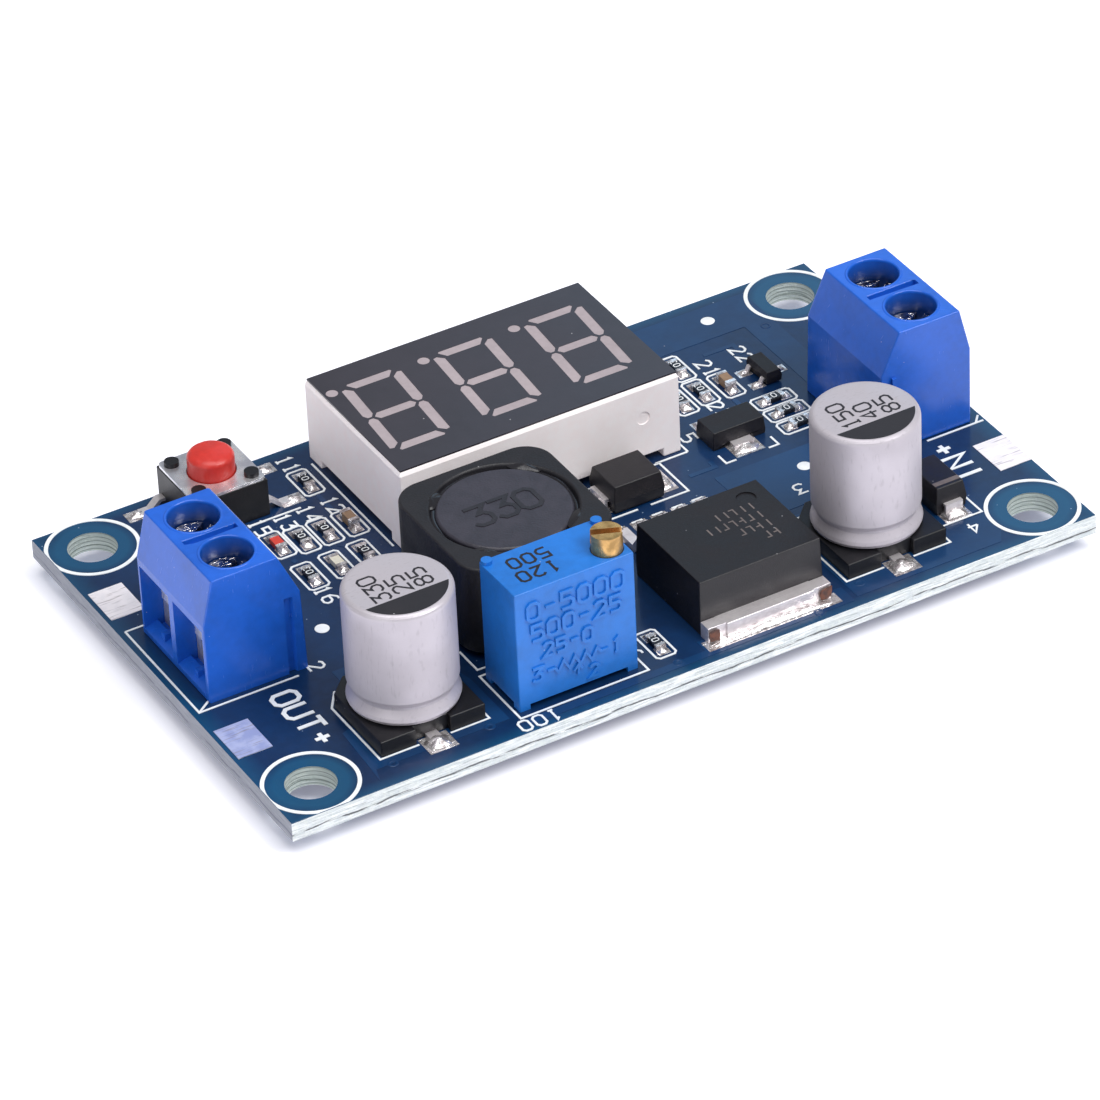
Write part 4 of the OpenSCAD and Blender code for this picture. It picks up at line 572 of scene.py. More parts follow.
def make_finishes():
    """Every finish of the solids, and of the printed marks and solder."""
    board_finish()
    moulded("copper_under_mask", "", "mask_lift", "mask", 0.4, grain=0.4, depth=0.004, dust=0.2,
            Coat_Weight=0.5, Coat_Roughness=0.16, Specular_IOR_Level=0.2)
    blue = moulded("terminal_blue", "out_terminal_housing in_terminal_housing", "terminal", 0.8, 0.24,
                   grain=0.14, depth=0.003, dust=0.35)
    # Painted shade: inside each screwdriver well the plastic darkens with depth below the roof, to
    # about a fifth of its colour, as shade falls in the recess.
    wells = 0.0
    for pole in POLES:
        reach = blue.reach(blue.x, blue.y, span(pole + "_screw")[2])
        inside = blue.math("LESS_THAN", reach, radius(pole + "_screw") + 0.35)
        wells = blue.math("MAXIMUM", wells, inside)
    roof = span("out_terminal_housing")[1][2]
    deep = blue.times(wells, blue.ramp(blue.z, roof - 0.15, roof - 1.6))
    blue.set(Base_Color=blue.mix(deep, blue.colour(), shade("terminal", 0.22)))
    moulded("trimmer_blue", "trimmer_case trimmer_base", "trimmer", 0.82, 0.4, grain=0.16, dust=0.3)
    # Painted light: a faint pinkish glow brightens the display case, its shaded sides too, though it
    # gives no light of its own.
    moulded("display_shell", "display_case", "shell", 0.94, 0.55, grain=0.2, dust=0.1,
            Emission_Color=linear((255, 238, 240)), Emission_Strength=0.07)
    moulded("display_resin", "display_bars", "segment", 0.9, 0.5, grain=0.1, depth=0.003, dust=0.1)
    moulded("display_dark", "display_face", "face", 0.85, 0.34, grain=0.3, depth=0.002, clouds=8.0,
            dust=0.4, Coat_Weight=0.25, Coat_Roughness=0.2)
    moulded("nylon", "trimmer_wheel", (226, 220, 200), (206, 200, 180), 0.5)
    moulded("ceramic", "trimmer_plate", (214, 218, 226), (196, 200, 210), 0.7)
    moulded("glass_fibre", "display_emitter_board", (186, 190, 146), (160, 168, 120), 0.6)
    moulded("mould_compound", "regulator_body in_diode_body out_diode_body small_regulator_body "
            "reference_body controller_body", "compound", 0.7, 0.46, grain=0.1, depth=0.008,
            clouds=2.5, dust=0.3)
    moulded("base_black", "button_base out_capacitor_base in_capacitor_base", "base", 0.7, 0.42,
            grain=0.14, depth=0.008)
    moulded("cap_red", "button_cap", "cap", 0.8, 0.38, grain=0.14, depth=0.004)
    moulded("chip_black", "chip_resistors", (28, 30, 40), (18, 20, 28), 0.25, grain=0.1)
    moulded("chip_tan", "chip_capacitors", (150, 122, 96), (128, 102, 80), 0.5, grain=0.1)
    lens = moulded("light_lens", "indicator_lights", (236, 232, 218), (214, 208, 190), 0.3, grain=0.1)
    red = lens.math("GREATER_THAN", lens.y, span("indicator_lights")[2][1])
    lens.set(Base_Color=lens.mix(red, lens.colour(), (200, 62, 50)))
    moulded("silk_white", "", "silk", 0.9, 0.62, grain=0.1, clouds=1.2, dust=0.0)
    moulded("print_black", "", (34, 32, 38), (24, 22, 28), 0.5, grain=0.1, depth=0.003)
    moulded("print_grey", "", (112, 102, 100), (90, 82, 80), 0.5, grain=0.08, dust=0.2)
    moulded("print_dark", "", (40, 38, 44), (30, 28, 34), 0.35, grain=0.1)
    moulded("copper_cut", "", (122, 78, 62), (74, 52, 48), 0.55, grain=0.2, depth=0.03, clouds=0.5)
    moulded("ferrite", "inductor_shield", "ferrite", 0.72, 0.5, grain=0.16, depth=0.016, clouds=2.0,
            dust=0.6)
    moulded("drum_ferrite", "inductor_drum", shade("ferrite", 3.6), 0.75, 0.42, grain=0.2,
            depth=0.014, clouds=1.5)
    moulded("glue", "", (30, 29, 34), (22, 21, 26), 0.22, grain=0.5, depth=0.02)
    metal("tinned_brass", "out_terminal_contacts in_terminal_contacts", (240, 236, 230),
          (196, 188, 178), 0.28)
    metal("plated_steel", "out_plus_guard out_minus_guard in_plus_guard in_minus_guard button_cover "
          "button_dome", (246, 246, 248), (198, 198, 206), 0.22, brush=2.0)
    metal("yellow_brass", "trimmer_screw", "brass", 0.5, 0.26, brush=0.8, depth=0.01, clouds=0.8,
          metallic=0.85)
    # Painted shade: the well screws' clouds run down to a dark blue grey, darkening them where they lie
    # in the shade of the wells.
    metal("screw_steel", "out_plus_screw out_minus_screw in_plus_screw in_minus_screw",
          (246, 244, 246), (96, 96, 112), 0.12, brush=0.5, depth=0.05, clouds=0.45, metallic=1.0)
    metal("tinned_wire", "trimmer_pins display_pins inductor_terminals regulator_tab regulator_leads "
          "button_leads in_diode_straps out_diode_straps small_regulator_leads reference_leads "
          "controller_leads out_capacitor_leads in_capacitor_leads", (252, 246, 247),
          (218, 211, 213), 0.32)
    metal("solder", "through_hole_solder chip_ends", (250, 246, 246), (158, 150, 150), 0.2, brush=0.7,
          depth=0.03, clouds=0.45)
    metal("copper_wire", "inductor_winding", (200, 120, 70), (150, 82, 44), 0.25)
    metal("can_aluminium", "out_capacitor_can in_capacitor_can", "can", 0.9, 0.42, brush=0.4,
          depth=0.0012, clouds=5.0, metallic=0.45)


# The solids with rounded edges, by the width of the rounding and the shortest edge that is rounded,
# first near the solid's top and then anywhere on it, in millimetres.

SOFTENED = {
    (0.12, 1.0, 6.55): "out_terminal_housing in_terminal_housing",
    (0.12, 1.0, 1.0): "trimmer_case",
    (0.12, 0.2, 0.2): "display_case",
    (0.2, 0.2, 0.2): "inductor_shield",
    (0.15, 0.2, 0.2): "button_cap",
    (0.08, 0.3, 0.3): "regulator_body button_base in_diode_body out_diode_body",
    (0.08, 0.2, 0.2): "out_capacitor_base in_capacitor_base",
    (0.06, 0.3, 0.3): "inductor_drum",
    (0.06, 0.2, 0.2): "small_regulator_body",
    (0.05, 0.2, 0.2): "regulator_tab",
    (0.05, 0.6, 0.6): "reference_body",
    (0.05, 8.0, 8.0): "pcb",
    (0.04, 0.3, 0.3): "button_cover",
}

# Middle and turn of each small chip, from the middle of the board in millimetres: the resistors,
# then the capacitors and lights. CHIP_END is from a chip's middle to its soldered end.

CHIPS = [
    (-12.9, 15.2, 0), (-16.55, 9.0, 0), (-14.65, 9.0, 0), (-18.2, 4.75, 0), (-13.5, 5.0, 0),
    (-1.65, -15.9, 0), (17.3, 9.2, 0), (17.4, 12.8, 0), (15.3, 8.9, 0),
    (21.35, 5.45, 90), (21.35, 3.6, 90), (21.35, 1.75, 90),
    (-12.6, 8.95, 0), (19.4, 9.0, 0), (-15.85, 4.9, 0), (-18.35, 9.4, 0),
]
RESISTORS = 12
CHIP_END = 0.9

# Middles of both regulators' leads, from the low end of their row.

LEADS = 0.4 + 1.7 * np.arange(5)
SMALL_LEADS = 0.24 + 1.5 * np.arange(3)

# Printed lines, from the middle of the part that they frame. Each group is drawn once, mirrored
# across, or in all four quarters.

FRAMES = (
    (ONCE, {
        "out_terminal_housing": [[(2.85, -5.74), (-5.06, -5.74), (-5.06, 5.6)],
                                 [(-5.06, -5.74), (-3.9, -4.9)], [(-5.06, 5.6), (2.85, 5.6)]],
        "in_terminal_housing": [[(-0.05, -5.25), (4.85, -5.25)], [(-0.05, 5.6), (4.85, 5.6)],
                                [(4.2, -5.25), (4.85, -4.5)]]}),
    (MIRRORED, {
        "out_capacitor_base": [[(1.25, -4.28), (4.34, -4.28), (4.34, 2.73), (3.3, 4.28),
                                (1.25, 4.28)]]}),
    (MIRRORED, {
        "in_capacitor_base": [[(1.25, -4.28), (4.4, -4.28), (4.4, 2.73), (3.3, 4.28),
                               (1.25, 4.28)]]}),
    (QUARTERS, {
        "inductor_shield": [[(5.0, 6.47), (6.3, 6.47), (6.3, 3.9)]]}),
    (ONCE, {
        "trimmer_case": [[(-5.1, -3.09), (5.25, -3.09), (5.25, 2.75), (-5.1, 2.75), (-5.1, -3.09)]],
        "out_diode_body": [[(-0.35, -2.08), (-3.95, -2.08), (-3.95, 2.1), (-0.35, 2.1)],
                           [(0.75, -2.08), (3.95, -2.08), (3.95, 2.1), (0.75, 2.1)]]}),
    (MIRRORED, {
        "in_diode_body": [[(1.8, -1.2), (1.8, -3.35), (-1.5, -3.35)],
                          [(1.8, 1.2), (1.8, 3.35), (0.5, 3.35)]],
        "small_regulator_body": [[(1.4, -3.05), (2.25, -3.05), (2.25, -1.9)]]}),
    (ONCE, {
        "display_case": [[(9.2, -7.62), (11.9, -7.62)], [(-11.95, -6.1), (-11.95, 6.3)],
                         [(11.95, -7.62), (11.95, 7.5)]],
        "button_base": [[(1.05, -3.5), (5.25, -3.5)], [(-2.3, 3.5), (2.3, 3.5)]]}),
)

# The frame of a chip: a rectangle with its corners cut.

CHIP_FRAME = [(-0.58, -1.68), (0.58, -1.68), (0.8, -1.46), (0.8, 1.46), (0.58, 1.68),
              (-0.58, 1.68), (-0.8, 1.46), (-0.8, -1.46), (-0.58, -1.68)]

# Copper areas and tracks under the mask, and the small plated holes.

AREAS = (
    [(-25.6, -19.1), (-25.2, -17.8), (-14.6, -17.8), (-14.6, -12.4), (-15.4, -8.4),
     (-15.4, -6.2), (-22.4, -6.2), (-22.4, -11.9), (-25.2, -12.9)],
    [(-13.9, -19.2), (12.9, -19.2), (12.9, -17.3), (0.9, -17.3), (0.9, -18.5), (-13.9, -18.5)],
    [(13.3, -18.9), (25.5, -18.9), (26.6, -17.2), (26.6, -8.0), (13.3, -8.0)],
    [(12.4, -7.2), (22.9, -7.2), (22.9, -0.8), (12.4, -0.8)],
    [(-22.6, 7.4), (-19.9, 7.4), (-19.9, 12.2), (-22.6, 12.2)],
    [(24.6, 6.0), (26.9, 6.0), (26.9, 18.9), (13.2, 18.9), (13.2, 14.9), (24.6, 14.9)],
)
TRACKS = (
    [(-12.9, 13.4), (-12.9, 11.2)], [(-16.55, 6.9), (-16.0, 6.4)],
    [(-14.65, 7.1), (-14.2, 6.6)], [(-18.3, 7.2), (-18.2, 6.8)],
    [(17.35, 11.1), (17.35, 10.9)], [(19.2, 5.45), (18.9, 6.0), (18.9, 7.1)],
    [(20.0, 13.3), (22.6, 13.3), (22.6, 11.9)], [(-5.0, 3.9), (2.0, 3.9)],
    [(11.0, 0.4), (13.2, 0.4), (13.2, 1.2)],
)
PLATED_HOLES = (
    (-23.9, -17.8), (-16.2, -17.8), (14.3, -17.6), (-24.2, 8.2), (-22.9, 10.8), (13.6, -4.6),
    (20.7, -4.9), (12.9, 17.3), (26.0, 14.1), (-1.4, -18.6), (10.0, -19.0), (-7.4, 3.2),
    (13.4, 8.6),
)

# Solder joints: the solid, the spots on it, half the footprint, the height and the rest of the
# bead's shape. A spot is an end of the solid's box and a distance from it, in x and then in y.

LOW, HIGH, MID = range(3)
JOINTS = (
    ("out_capacitor_leads", [(MID, 0, LOW, -0.05), (MID, 0, HIGH, 0.05)], (1.0, 0.85), 0.5, {}),
    ("in_capacitor_leads", [(MID, 0, LOW, -0.05), (MID, 0, HIGH, 0.05)], (1.0, 0.85), 0.5, {}),
    ("regulator_tab", [(MID, 0, LOW, -0.15)], (5.4, 0.5), 0.42, {"power": 5.0, "around": 160}),
    ("regulator_leads", [(LOW, x, HIGH, -0.1) for x in LEADS], (0.52, 0.8), 0.55, {}),
    ("in_diode_straps", [(MID, 0, LOW, 0.05), (MID, 0, HIGH, -0.05)], (1.0, 0.72), 0.62,
     {"power": 4.0}),
    ("out_diode_straps", [(LOW, -0.1, MID, 0), (HIGH, 0.1, MID, 0)], (0.85, 1.25), 0.62,
     {"power": 4.0}),
    ("small_regulator_leads", [(LOW, x, HIGH, -0.1) for x in SMALL_LEADS], (0.32, 0.5), 0.3, {}),
    ("small_regulator_leads", [(LOW, 1.74, LOW, 0.1)], (1.1, 0.9), 0.4, {"power": 3.5}),
    ("reference_leads", [(LOW, 0, LOW, 0.2), (LOW, 0, HIGH, -0.2), (HIGH, 0, MID, 0)],
     (0.45, 0.32), 0.3, {}),
    ("button_leads", [(LOW, -0.15, LOW, 0.35), (LOW, -0.15, HIGH, -0.35),
                      (HIGH, 0.15, LOW, 0.35), (HIGH, 0.15, HIGH, -0.35)], (0.8, 0.5), 0.34, {}),
    ("inductor_terminals", [(MID, 0, LOW, -0.25), (MID, 0, HIGH, 0.25)], (1.5, 0.55), 0.8,
     {"power": 4.0}),
)


class ModuleColours(bpy.types.PropertyGroup):
    """Colours that a user would change, as linear light."""

    def colour(name, about, value):
        return bpy.props.FloatVectorProperty(name=name, description=about, subtype="COLOR", size=4,
                                             min=0, max=1, default=linear(value))

    mask: colour("Mask", "Solder mask over bare laminate", (8, 43, 82))
    mask_deep: colour("Deep mask", "The mask's darker clouds", (6, 34, 68))
    mask_lift: colour("Mask over copper", "Solder mask over copper areas", (13, 54, 96))
    mask_edge: colour("Thin mask", "The mask near edges and holes", (16, 80, 116))
    laminate: colour("Laminate", "Sawn glass-fibre edge", (238, 242, 244))
    laminate_deep: colour("Deep laminate", "Darker layers of the sawn edge", (200, 208, 210))
    silk: colour("Silk", "Printed frames and letters", (232, 236, 238))
    tin: colour("Tin", "Tinned pads", (248, 242, 245))
    tin_deep: colour("Deep tin", "Dull areas of the tinned pads", (236, 231, 235))
    terminal: colour("Terminal", "Plastic of both screw terminals", (30, 96, 204))
    trimmer: colour("Trimmer", "Plastic of the trimmer case", (27, 114, 204))
    shell: colour("Display case", "Plastic of the display case", (252, 244, 243))
    face: colour("Display face", "Dark sheet on the display", (50, 46, 54))
    segment: colour("Light bars", "Unlit bars of the display", (166, 154, 158))
    ferrite: colour("Ferrite", "Inductor shield and drum", (26, 25, 31))
    compound: colour("Moulding", "Regulator, diode and small chip bodies", (21, 19, 25))
    base: colour("Bases", "Capacitor and button bases", (12, 12, 17))
    can: colour("Cans", "Aluminium of the capacitor cans", (198, 192, 199))
    cap: colour("Button cap", "Plastic of the push button's cap", (208, 52, 44))
    brass: colour("Brass", "Adjusting screw of the trimmer", (226, 180, 114))


class ModuleSizes(bpy.types.PropertyGroup):
    """Sizes of the printed marks, the solder and the rounded edges."""

    def length(name, about, value):
        return bpy.props.FloatProperty(name=name, description=about, subtype="DISTANCE",
                                       unit="LENGTH", min=0, default=value * MM, precision=5)

    silk_line: length("Silk line", "Width of the printed frames", 0.16)
    silk_rise: length("Silk rise", "How far the print stands above the copper areas", 0.02)
    ring_width: length("Ring width", "Outer width of the rings round the holes", 7.05)
    ring_line: length("Ring line", "Width of the rings round the holes", 0.3)
    legend_height: length("Legend height", "Height of the terminal lettering", 1.9)
    copper_rise: length("Copper rise", "How far copper areas lift the mask", 0.025)
    emboss: length("Embossing", "How far the raised signs stand out of the trimmer", 0.14)
    nub: length("Trimmer nubs", "Height of the nubs above the trimmer's roof", 0.3)
    rim_width: length("Rim width", "Width of the lip round each screwdriver well", 0.26)
    rim_rise: length("Rim rise", "Height of the lip round each screwdriver well", 0.09)
    solder_rise: length("Solder rise", "Height of a chip's solder fillet", 0.34)


class StudioSettings(bpy.types.PropertyGroup):
    """The camera's lens and the lights."""

    def number(name, about, value, least=0.0, **kind):
        return bpy.props.FloatProperty(name=name, description=about, min=least, default=value, **kind)

    lens: number("Lens", "Focal length in millimetres", 215.51, 20.0)
    key: number("Key light", "Power of the large soft light", 3.7, subtype="POWER")
    fill: number("Fill light", "Power of the left fill", 0.9, subtype="POWER")
    card: number("Back card", "Power of the card behind, whose shine lies on the right of the board",
                 0.1, subtype="POWER")
    overhead: number("Overhead light", "Power of the soft top", 4.4, subtype="POWER")
    sky: number("Sky", "Strength of the even pale surround", 0.3)
    floor: number("Floor", "Half the floor's width", 1.5, 0.2, subtype="DISTANCE", unit="LENGTH")


def print_top(sizes):
    """How far the print on the board stands above it, which is clear of the copper areas too."""
    return (sizes.silk_rise + sizes.copper_rise) / MM


class MODULE_OT_finishes(bpy.types.Operator):
    """Gives every solid of the module its finish"""
    bl_idname = "module.finishes"
    bl_label = "Finishes"

    def execute(self, context):
        for solid in frame["nodes"].values():
            solid.data.materials.clear()
        for plain in list(bpy.data.materials):
            bpy.data.materials.remove(plain)
        make_effects()
        make_finishes()
        return {"FINISHED"}


def outer_edges():
    """Geometry nodes that give the bevel a weight of one on convex edges over 35 degrees, and
    elsewhere none. Above the level an edge counts from the shortest length on, and below it only
    from the length called Anywhere, so that fine bores and the edges of openings stay sharp."""
    made = Nodes(bpy.data.node_groups.new("Outer edges", "GeometryNodeTree"))
    sockets = made.tree.interface
    for way in ("INPUT", "OUTPUT"):
        sockets.new_socket("Geometry", in_out=way, socket_type="NodeSocketGeometry")
    for label in ("Shortest", "Anywhere", "Level"):
        sockets.new_socket(label, in_out="INPUT", socket_type=FLOAT)
    into = made.add("NodeGroupInput").outputs
    fold = made.add("GeometryNodeInputMeshEdgeAngle").outputs["Signed Angle"]
    ends = made.add("GeometryNodeInputMeshEdgeVertices").outputs
    one, other = ends["Position 1"], ends["Position 2"]
    length = made.add("ShaderNodeVectorMath", {0: one, 1: other}, operation="DISTANCE").outputs["Value"]
    heights = [made.add("ShaderNodeSeparateXYZ", {0: end}).outputs["Z"] for end in (one, other)]
    high = made.math("GREATER_THAN", made.plus(*heights), made.times(into["Level"], 2.0))
    near_top = made.times(high, made.math("GREATER_THAN", length, into["Shortest"]))
    counts = made.math("MAXIMUM", near_top, made.math("GREATER_THAN", length, into["Anywhere"]))
    weight = made.times(counts, made.math("GREATER_THAN", fold, math.radians(35)))
    store = made.add("GeometryNodeStoreNamedAttribute",
                     {"Geometry": into[0], "Name": "bevel_weight_edge", "Value": weight},
                     data_type="FLOAT", domain="EDGE")
    made.add("NodeGroupOutput", {0: store.outputs[0]})
    return made.tree


class MODULE_OT_edges(bpy.types.Operator):
    """Rounds the sharp edges of the moulded and pressed solids a little, as tooling leaves them"""
    bl_idname = "module.edges"
    bl_label = "Edges"

    def execute(self, context):
        picker = outer_edges()
        labels = [picker.interface.items_tree[label].identifier
                  for label in ("Shortest", "Anywhere", "Level")]
        for (width, shortest, anywhere), nodes in SOFTENED.items():
            for node in nodes.split():
                solid = frame["nodes"][node]
                weld = solid.modifiers.new("weld", "WELD")
                weld.merge_threshold = 0.002 * MM
                flat = solid.modifiers.new("flat", "DECIMATE")
                flat.decimate_type, flat.angle_limit = "DISSOLVE", math.radians(1)
                pick = solid.modifiers.new("pick", "NODES")
                pick.node_group = picker
                low, high, _ = span(node)
                level = low[2] + 0.65 * (high[2] - low[2])
                for label, value in zip(labels, (shortest, anywhere, level)):
                    pick[label] = value * MM
                bevel = solid.modifiers.new("edges", "BEVEL")
                bevel.width, bevel.segments = width * MM, 2
                bevel.limit_method = "WEIGHT"
                bevel.harden_normals = True
                bevel.use_clamp_overlap = False
        return {"FINISHED"}


class MODULE_OT_well_rims(bpy.types.Operator):
    """Gives each screwdriver well its soft moulded lip: a low rounded section turned about it"""
    bl_idname = "module.well_rims"
    bl_label = "Well rims"

    def execute(self, context):
        sizes = context.scene.module_sizes
        wide, rise, foot = sizes.rim_width / MM, sizes.rim_rise / MM, -0.2
        across = np.linspace(0, 1, 9)
        crown = rise * np.sin(np.pi * across) ** 0.7 - 0.03
        for side in SIDES:
            roof = span(side + "_terminal_housing")[1][2]
            rims = []
            for pole in ("_plus", "_minus"):
                screw = side + pole + "_screw"
                inner = radius(screw) + 0.08
                section = np.vstack([np.stack([inner + wide * across, crown], -1),
                                     (inner + wide, foot), (inner, foot)])
                rims.append(loft(lathe(section, (*span(screw)[2][:2], roof), 64), True))
            piece(side + "_well_rims", rims, "terminal_blue")
        return {"FINISHED"}


class MODULE_OT_silk(bpy.types.Operator):
    """Prints the frames round the parts, the rings round the holes and the white dots"""
    bl_idname = "module.silk"
    bl_label = "Printed frames"

    def execute(self, context):
        sizes = context.scene.module_sizes
        line, rise = sizes.silk_line / MM, print_top(sizes)
        shapes = []

        def stroke(path, at, turn=0.0, hair=STEP):
            top = rise + (len(shapes) % 7) * hair
            shapes.extend(placed([ribbon(path, line, DEEP, top)], (*at, TOP), turn))

        for ways, group in FRAMES:
            for way in ways:
                for node, paths in group.items():
                    for path in paths:
                        stroke(np.array(path) * way, span(node)[2][:2])
        low, high, _ = span("regulator_leads")
        for x in LEADS:
            stroke([(-0.45, 0), (0.45, 0)], (low[0] + x, high[1] + 0.8), hair=0)
        for x, y, turn in CHIPS:
            stroke(CHIP_FRAME, (x, y), turn)
        # Rings round the mounting holes, cut where the board ends
        reach = sizes.ring_width / 2 / MM - np.array([1, 0, 0, 1]) * sizes.ring_line / MM
        limit = EDGE - 0.03
        angle = turns(120)[:, None]
        for quarter in QUARTERS:
            ring = np.zeros((len(angle), 4, 3))
            ring[..., :2] = np.clip(circle(quarter * (EDGE - HOLE_INSET), reach, angle), -limit, limit)
            ring[..., 2] = TOP + np.array([DEEP, DEEP, rise, rise])
            shapes.append(loft(ring, True))
        dot = [(0.54, DEEP), (0.54, rise * 0.6), (0.5, rise), (0.02, rise)]
        for x, y in ((-20.5, -1.3), (22.7, 17.1), (18.7, -3.1)):
            shapes.append(loft(lathe(dot, (x, y, TOP), 28)))
        piece("silk_frames", shapes, "silk_white")
        return {"FINISHED"}


class MODULE_OT_legends(bpy.types.Operator):
    """Prints the terminal lettering and a plain number beside each part"""
    bl_idname = "module.legends"
    bl_label = "Printed lettering"

    def execute(self, context):
        sizes = context.scene.module_sizes
        levels = (DEEP, print_top(sizes))
        large, small, large_line, small_line = sizes.legend_height / MM, 1.15, 0.32, 0.17
        shapes = []
        for words, x, y, turn in (("OUT+", -26.6, -9.85, -90), ("OUT-", -26.6, 9.6, -90),
                                  ("IN+", 28.3, -8.75, 90), ("IN-", 28.3, 8.4, 90)):
            shapes += lettering(words, large, large_line, levels, (x, y, TOP), turn, 1.42)
        for words, x, y, turn in (
            ("100", -12.95, -19.1, 180), ("2", -23.0, -5.0, -90), ("3", 16.9, -5.4, 180),
            ("4", 24.8, -16.4, 180), ("5", 13.5, 4.6, -90), ("11", -12.9, 18.0, -90),
            ("12", -12.6, 11.6, -90), ("13", -16.5, 11.6, -90), ("14", -14.6, 11.6, -90),
            ("15", -18.4, 12.0, -90), ("16", -18.3, 2.1, -90), ("17", -15.9, 2.1, -90),
            ("21", 19.4, 11.7, -90), ("22", 22.5, 11.9, -90), ("23", 17.3, 6.5, -90),
            ("24", 15.3, 11.7, -90), ("6", -3.5, -16.0, -90),
        ):
            shapes += lettering(words, small, small_line, levels, (x, y, TOP), turn)
        piece("silk_lettering", shapes, "silk_white")
        return {"FINISHED"}


class MODULE_OT_copper(bpy.types.Operator):
    """Lifts the mask over the copper areas and tracks, and sets the small plated holes"""
    bl_idname = "module.copper"
    bl_label = "Copper under the mask"

    def execute(self, context):
        low, high = TOP + DEEP, TOP + context.scene.module_sizes.copper_rise / MM
        shapes = [plate(area, low, high) for area in AREAS]
        shapes += [ribbon(track, 0.4, low, high) for track in TRACKS]
        rim = [(0.42, DEEP), (0.42, 0.02), (0.36, 0.05), (0.24, 0.045), (0.17, 0.0),
               (0.02, -0.015)]
        shapes += [loft(lathe(rim, (x, y, TOP), 20)) for x, y in PLATED_HOLES]
        piece("copper_relief", shapes, "copper_under_mask")
        return {"FINISHED"}


class MODULE_OT_solder(bpy.types.Operator):
    """Flows solder over every surface-mount lead, tab, strap and chip end"""
    bl_idname = "module.solder"
    bl_label = "Solder"

    def execute(self, context):
        rise = context.scene.module_sizes.solder_rise / MM
        pads, beads = [], []

        def joint(x, y, half, height, pad=0.12, **shape):
            at, reach = np.array([x, y]), np.array(half) + pad
            pads.append(plate(oblong(at - reach, at + reach), TOP + DEEP, TOP + 0.03))
            seed = int(abs(x * 37 + y * 91)) + 3
            beads.append(bead((x, y, TOP), half, height, seed=seed, **shape))

        for node, spots, half, height, shape in JOINTS:
            ends = span(node)
            for end_x, off_x, end_y, off_y in spots:
                joint(ends[end_x][0] + off_x, ends[end_y][1] + off_y, half, height, **shape)
        for x, y, turn in CHIPS:
            for way in (-CHIP_END, CHIP_END):
                at = (x + way, y) if turn else (x, y + way)
                joint(*at, (0.42, 0.42), rise, pad=0.05, power=4.0)
        piece("tinned_pads", pads, "solder")
        piece("solder_joints", beads, "solder", angle=60)
        return {"FINISHED"}


class MODULE_OT_capacitor_marks(bpy.types.Operator):
    """Prints the black half moon and a plain number on each capacitor"""
    bl_idname = "module.capacitor_marks"
    bl_label = "Capacitor marks"

    def execute(self, context):
        levels = (SHALLOW, PRINT)
        half = math.radians(66)
        angle = np.linspace(-np.pi / 2 - half, -np.pi / 2 + half, 40)
        for side, words in (("out", ("330", "25", "85")), ("in", ("150", "40", "85"))):
            can = side + "_capacitor_can"
            _, high, at = span(can)
            moon = circle(at, radius(can) - 0.5, angle)
            shapes = [plate(moon, high[2] + SHALLOW, high[2] + PRINT)]
            for word, x, y in zip(words, (-1.65, 0.05, 1.75), (0.28, -0.1, -0.1)):
                spot = (at[0] + x, at[1] + y, high[2])
                shapes += lettering(word, 1.25, 0.17, levels, spot, 90, 1.35)
            piece(side + "_capacitor_print", shapes, "print_black")
        return {"FINISHED"}


class MODULE_OT_body_marks(bpy.types.Operator):
    """Prints plain marks on the regulator, diodes, chips and inductor"""
    bl_idname = "module.body_marks"
    bl_label = "Body marks"

    def execute(self, context):
        chance = np.random.default_rng(7)
        low, high, at = span("regulator_body")
        root, top, width = high[2] + SHALLOW, high[2] + 0.008, 0.12
        shapes = []
        for marks, row in ((5, 1.7), (7, 0.5), (4, -0.7), (2, -1.9)):
            for i in range(marks):
                x, y = at[0] + 3.0 - i * 0.7, at[1] + row
                shapes.append(ribbon([(x, y - 0.4), (x, y + 0.4)], width, root, top))
                foot = y + 0.34 * chance.integers(-1, 2)
                if chance.uniform() < 0.75:
                    shapes.append(ribbon([(x, foot), (x - 0.36, foot)], width, root, top + STEP))
        piece("regulator_marks", shapes, "print_grey")
        low, high, _ = span("in_diode_body")
        band = oblong((low[0] + 0.25, low[1] + 0.5), (high[0] - 0.25, low[1] + 0.95))
        piece("diode_band", [plate(band, high[2] + SHALLOW, high[2] + 0.01)], "print_grey")
        # Bare copper where the tab was cut from its strip, on both ends of its front
        low, high, _ = span("regulator_tab")
        ends = []
        for mirrored in (False, True):
            outline = np.array([(0.04, 0.2), (0.45, 0.16), (0.92, 0.2), (0.95, 0.6), (0.9, 1.05),
                                (0.5, 1.1), (0.05, 1.08), (0.02, 0.6)])
            outline += chance.uniform(-0.07, 0.07, (8, 2))
            if mirrored:
                outline = outline[::-1] * (-1, 1) + (high[0] - low[0], 0)
            ends += placed([plate(outline, DEEP, PRINT)], low, upright=True)
        piece("tab_cut_ends", ends, "copper_cut")
        top = span("chip_resistors")[1][2]
        shapes = []
        for x, y, turn in CHIPS[:RESISTORS]:
            shapes += lettering("103", 0.5, 0.07, (SHALLOW, 0.008), (x, y, top), turn + 90)
        piece("chip_marks", shapes, "silk_white")
        low, high, at = span("inductor_drum")
        number = lettering("330", 2.3, 0.34, (SHALLOW, 0.05), (at[0], at[1] + 0.1, high[2]),
                           pitch=1.25)
        piece("inductor_number", number, "print_dark")
        return {"FINISHED"}


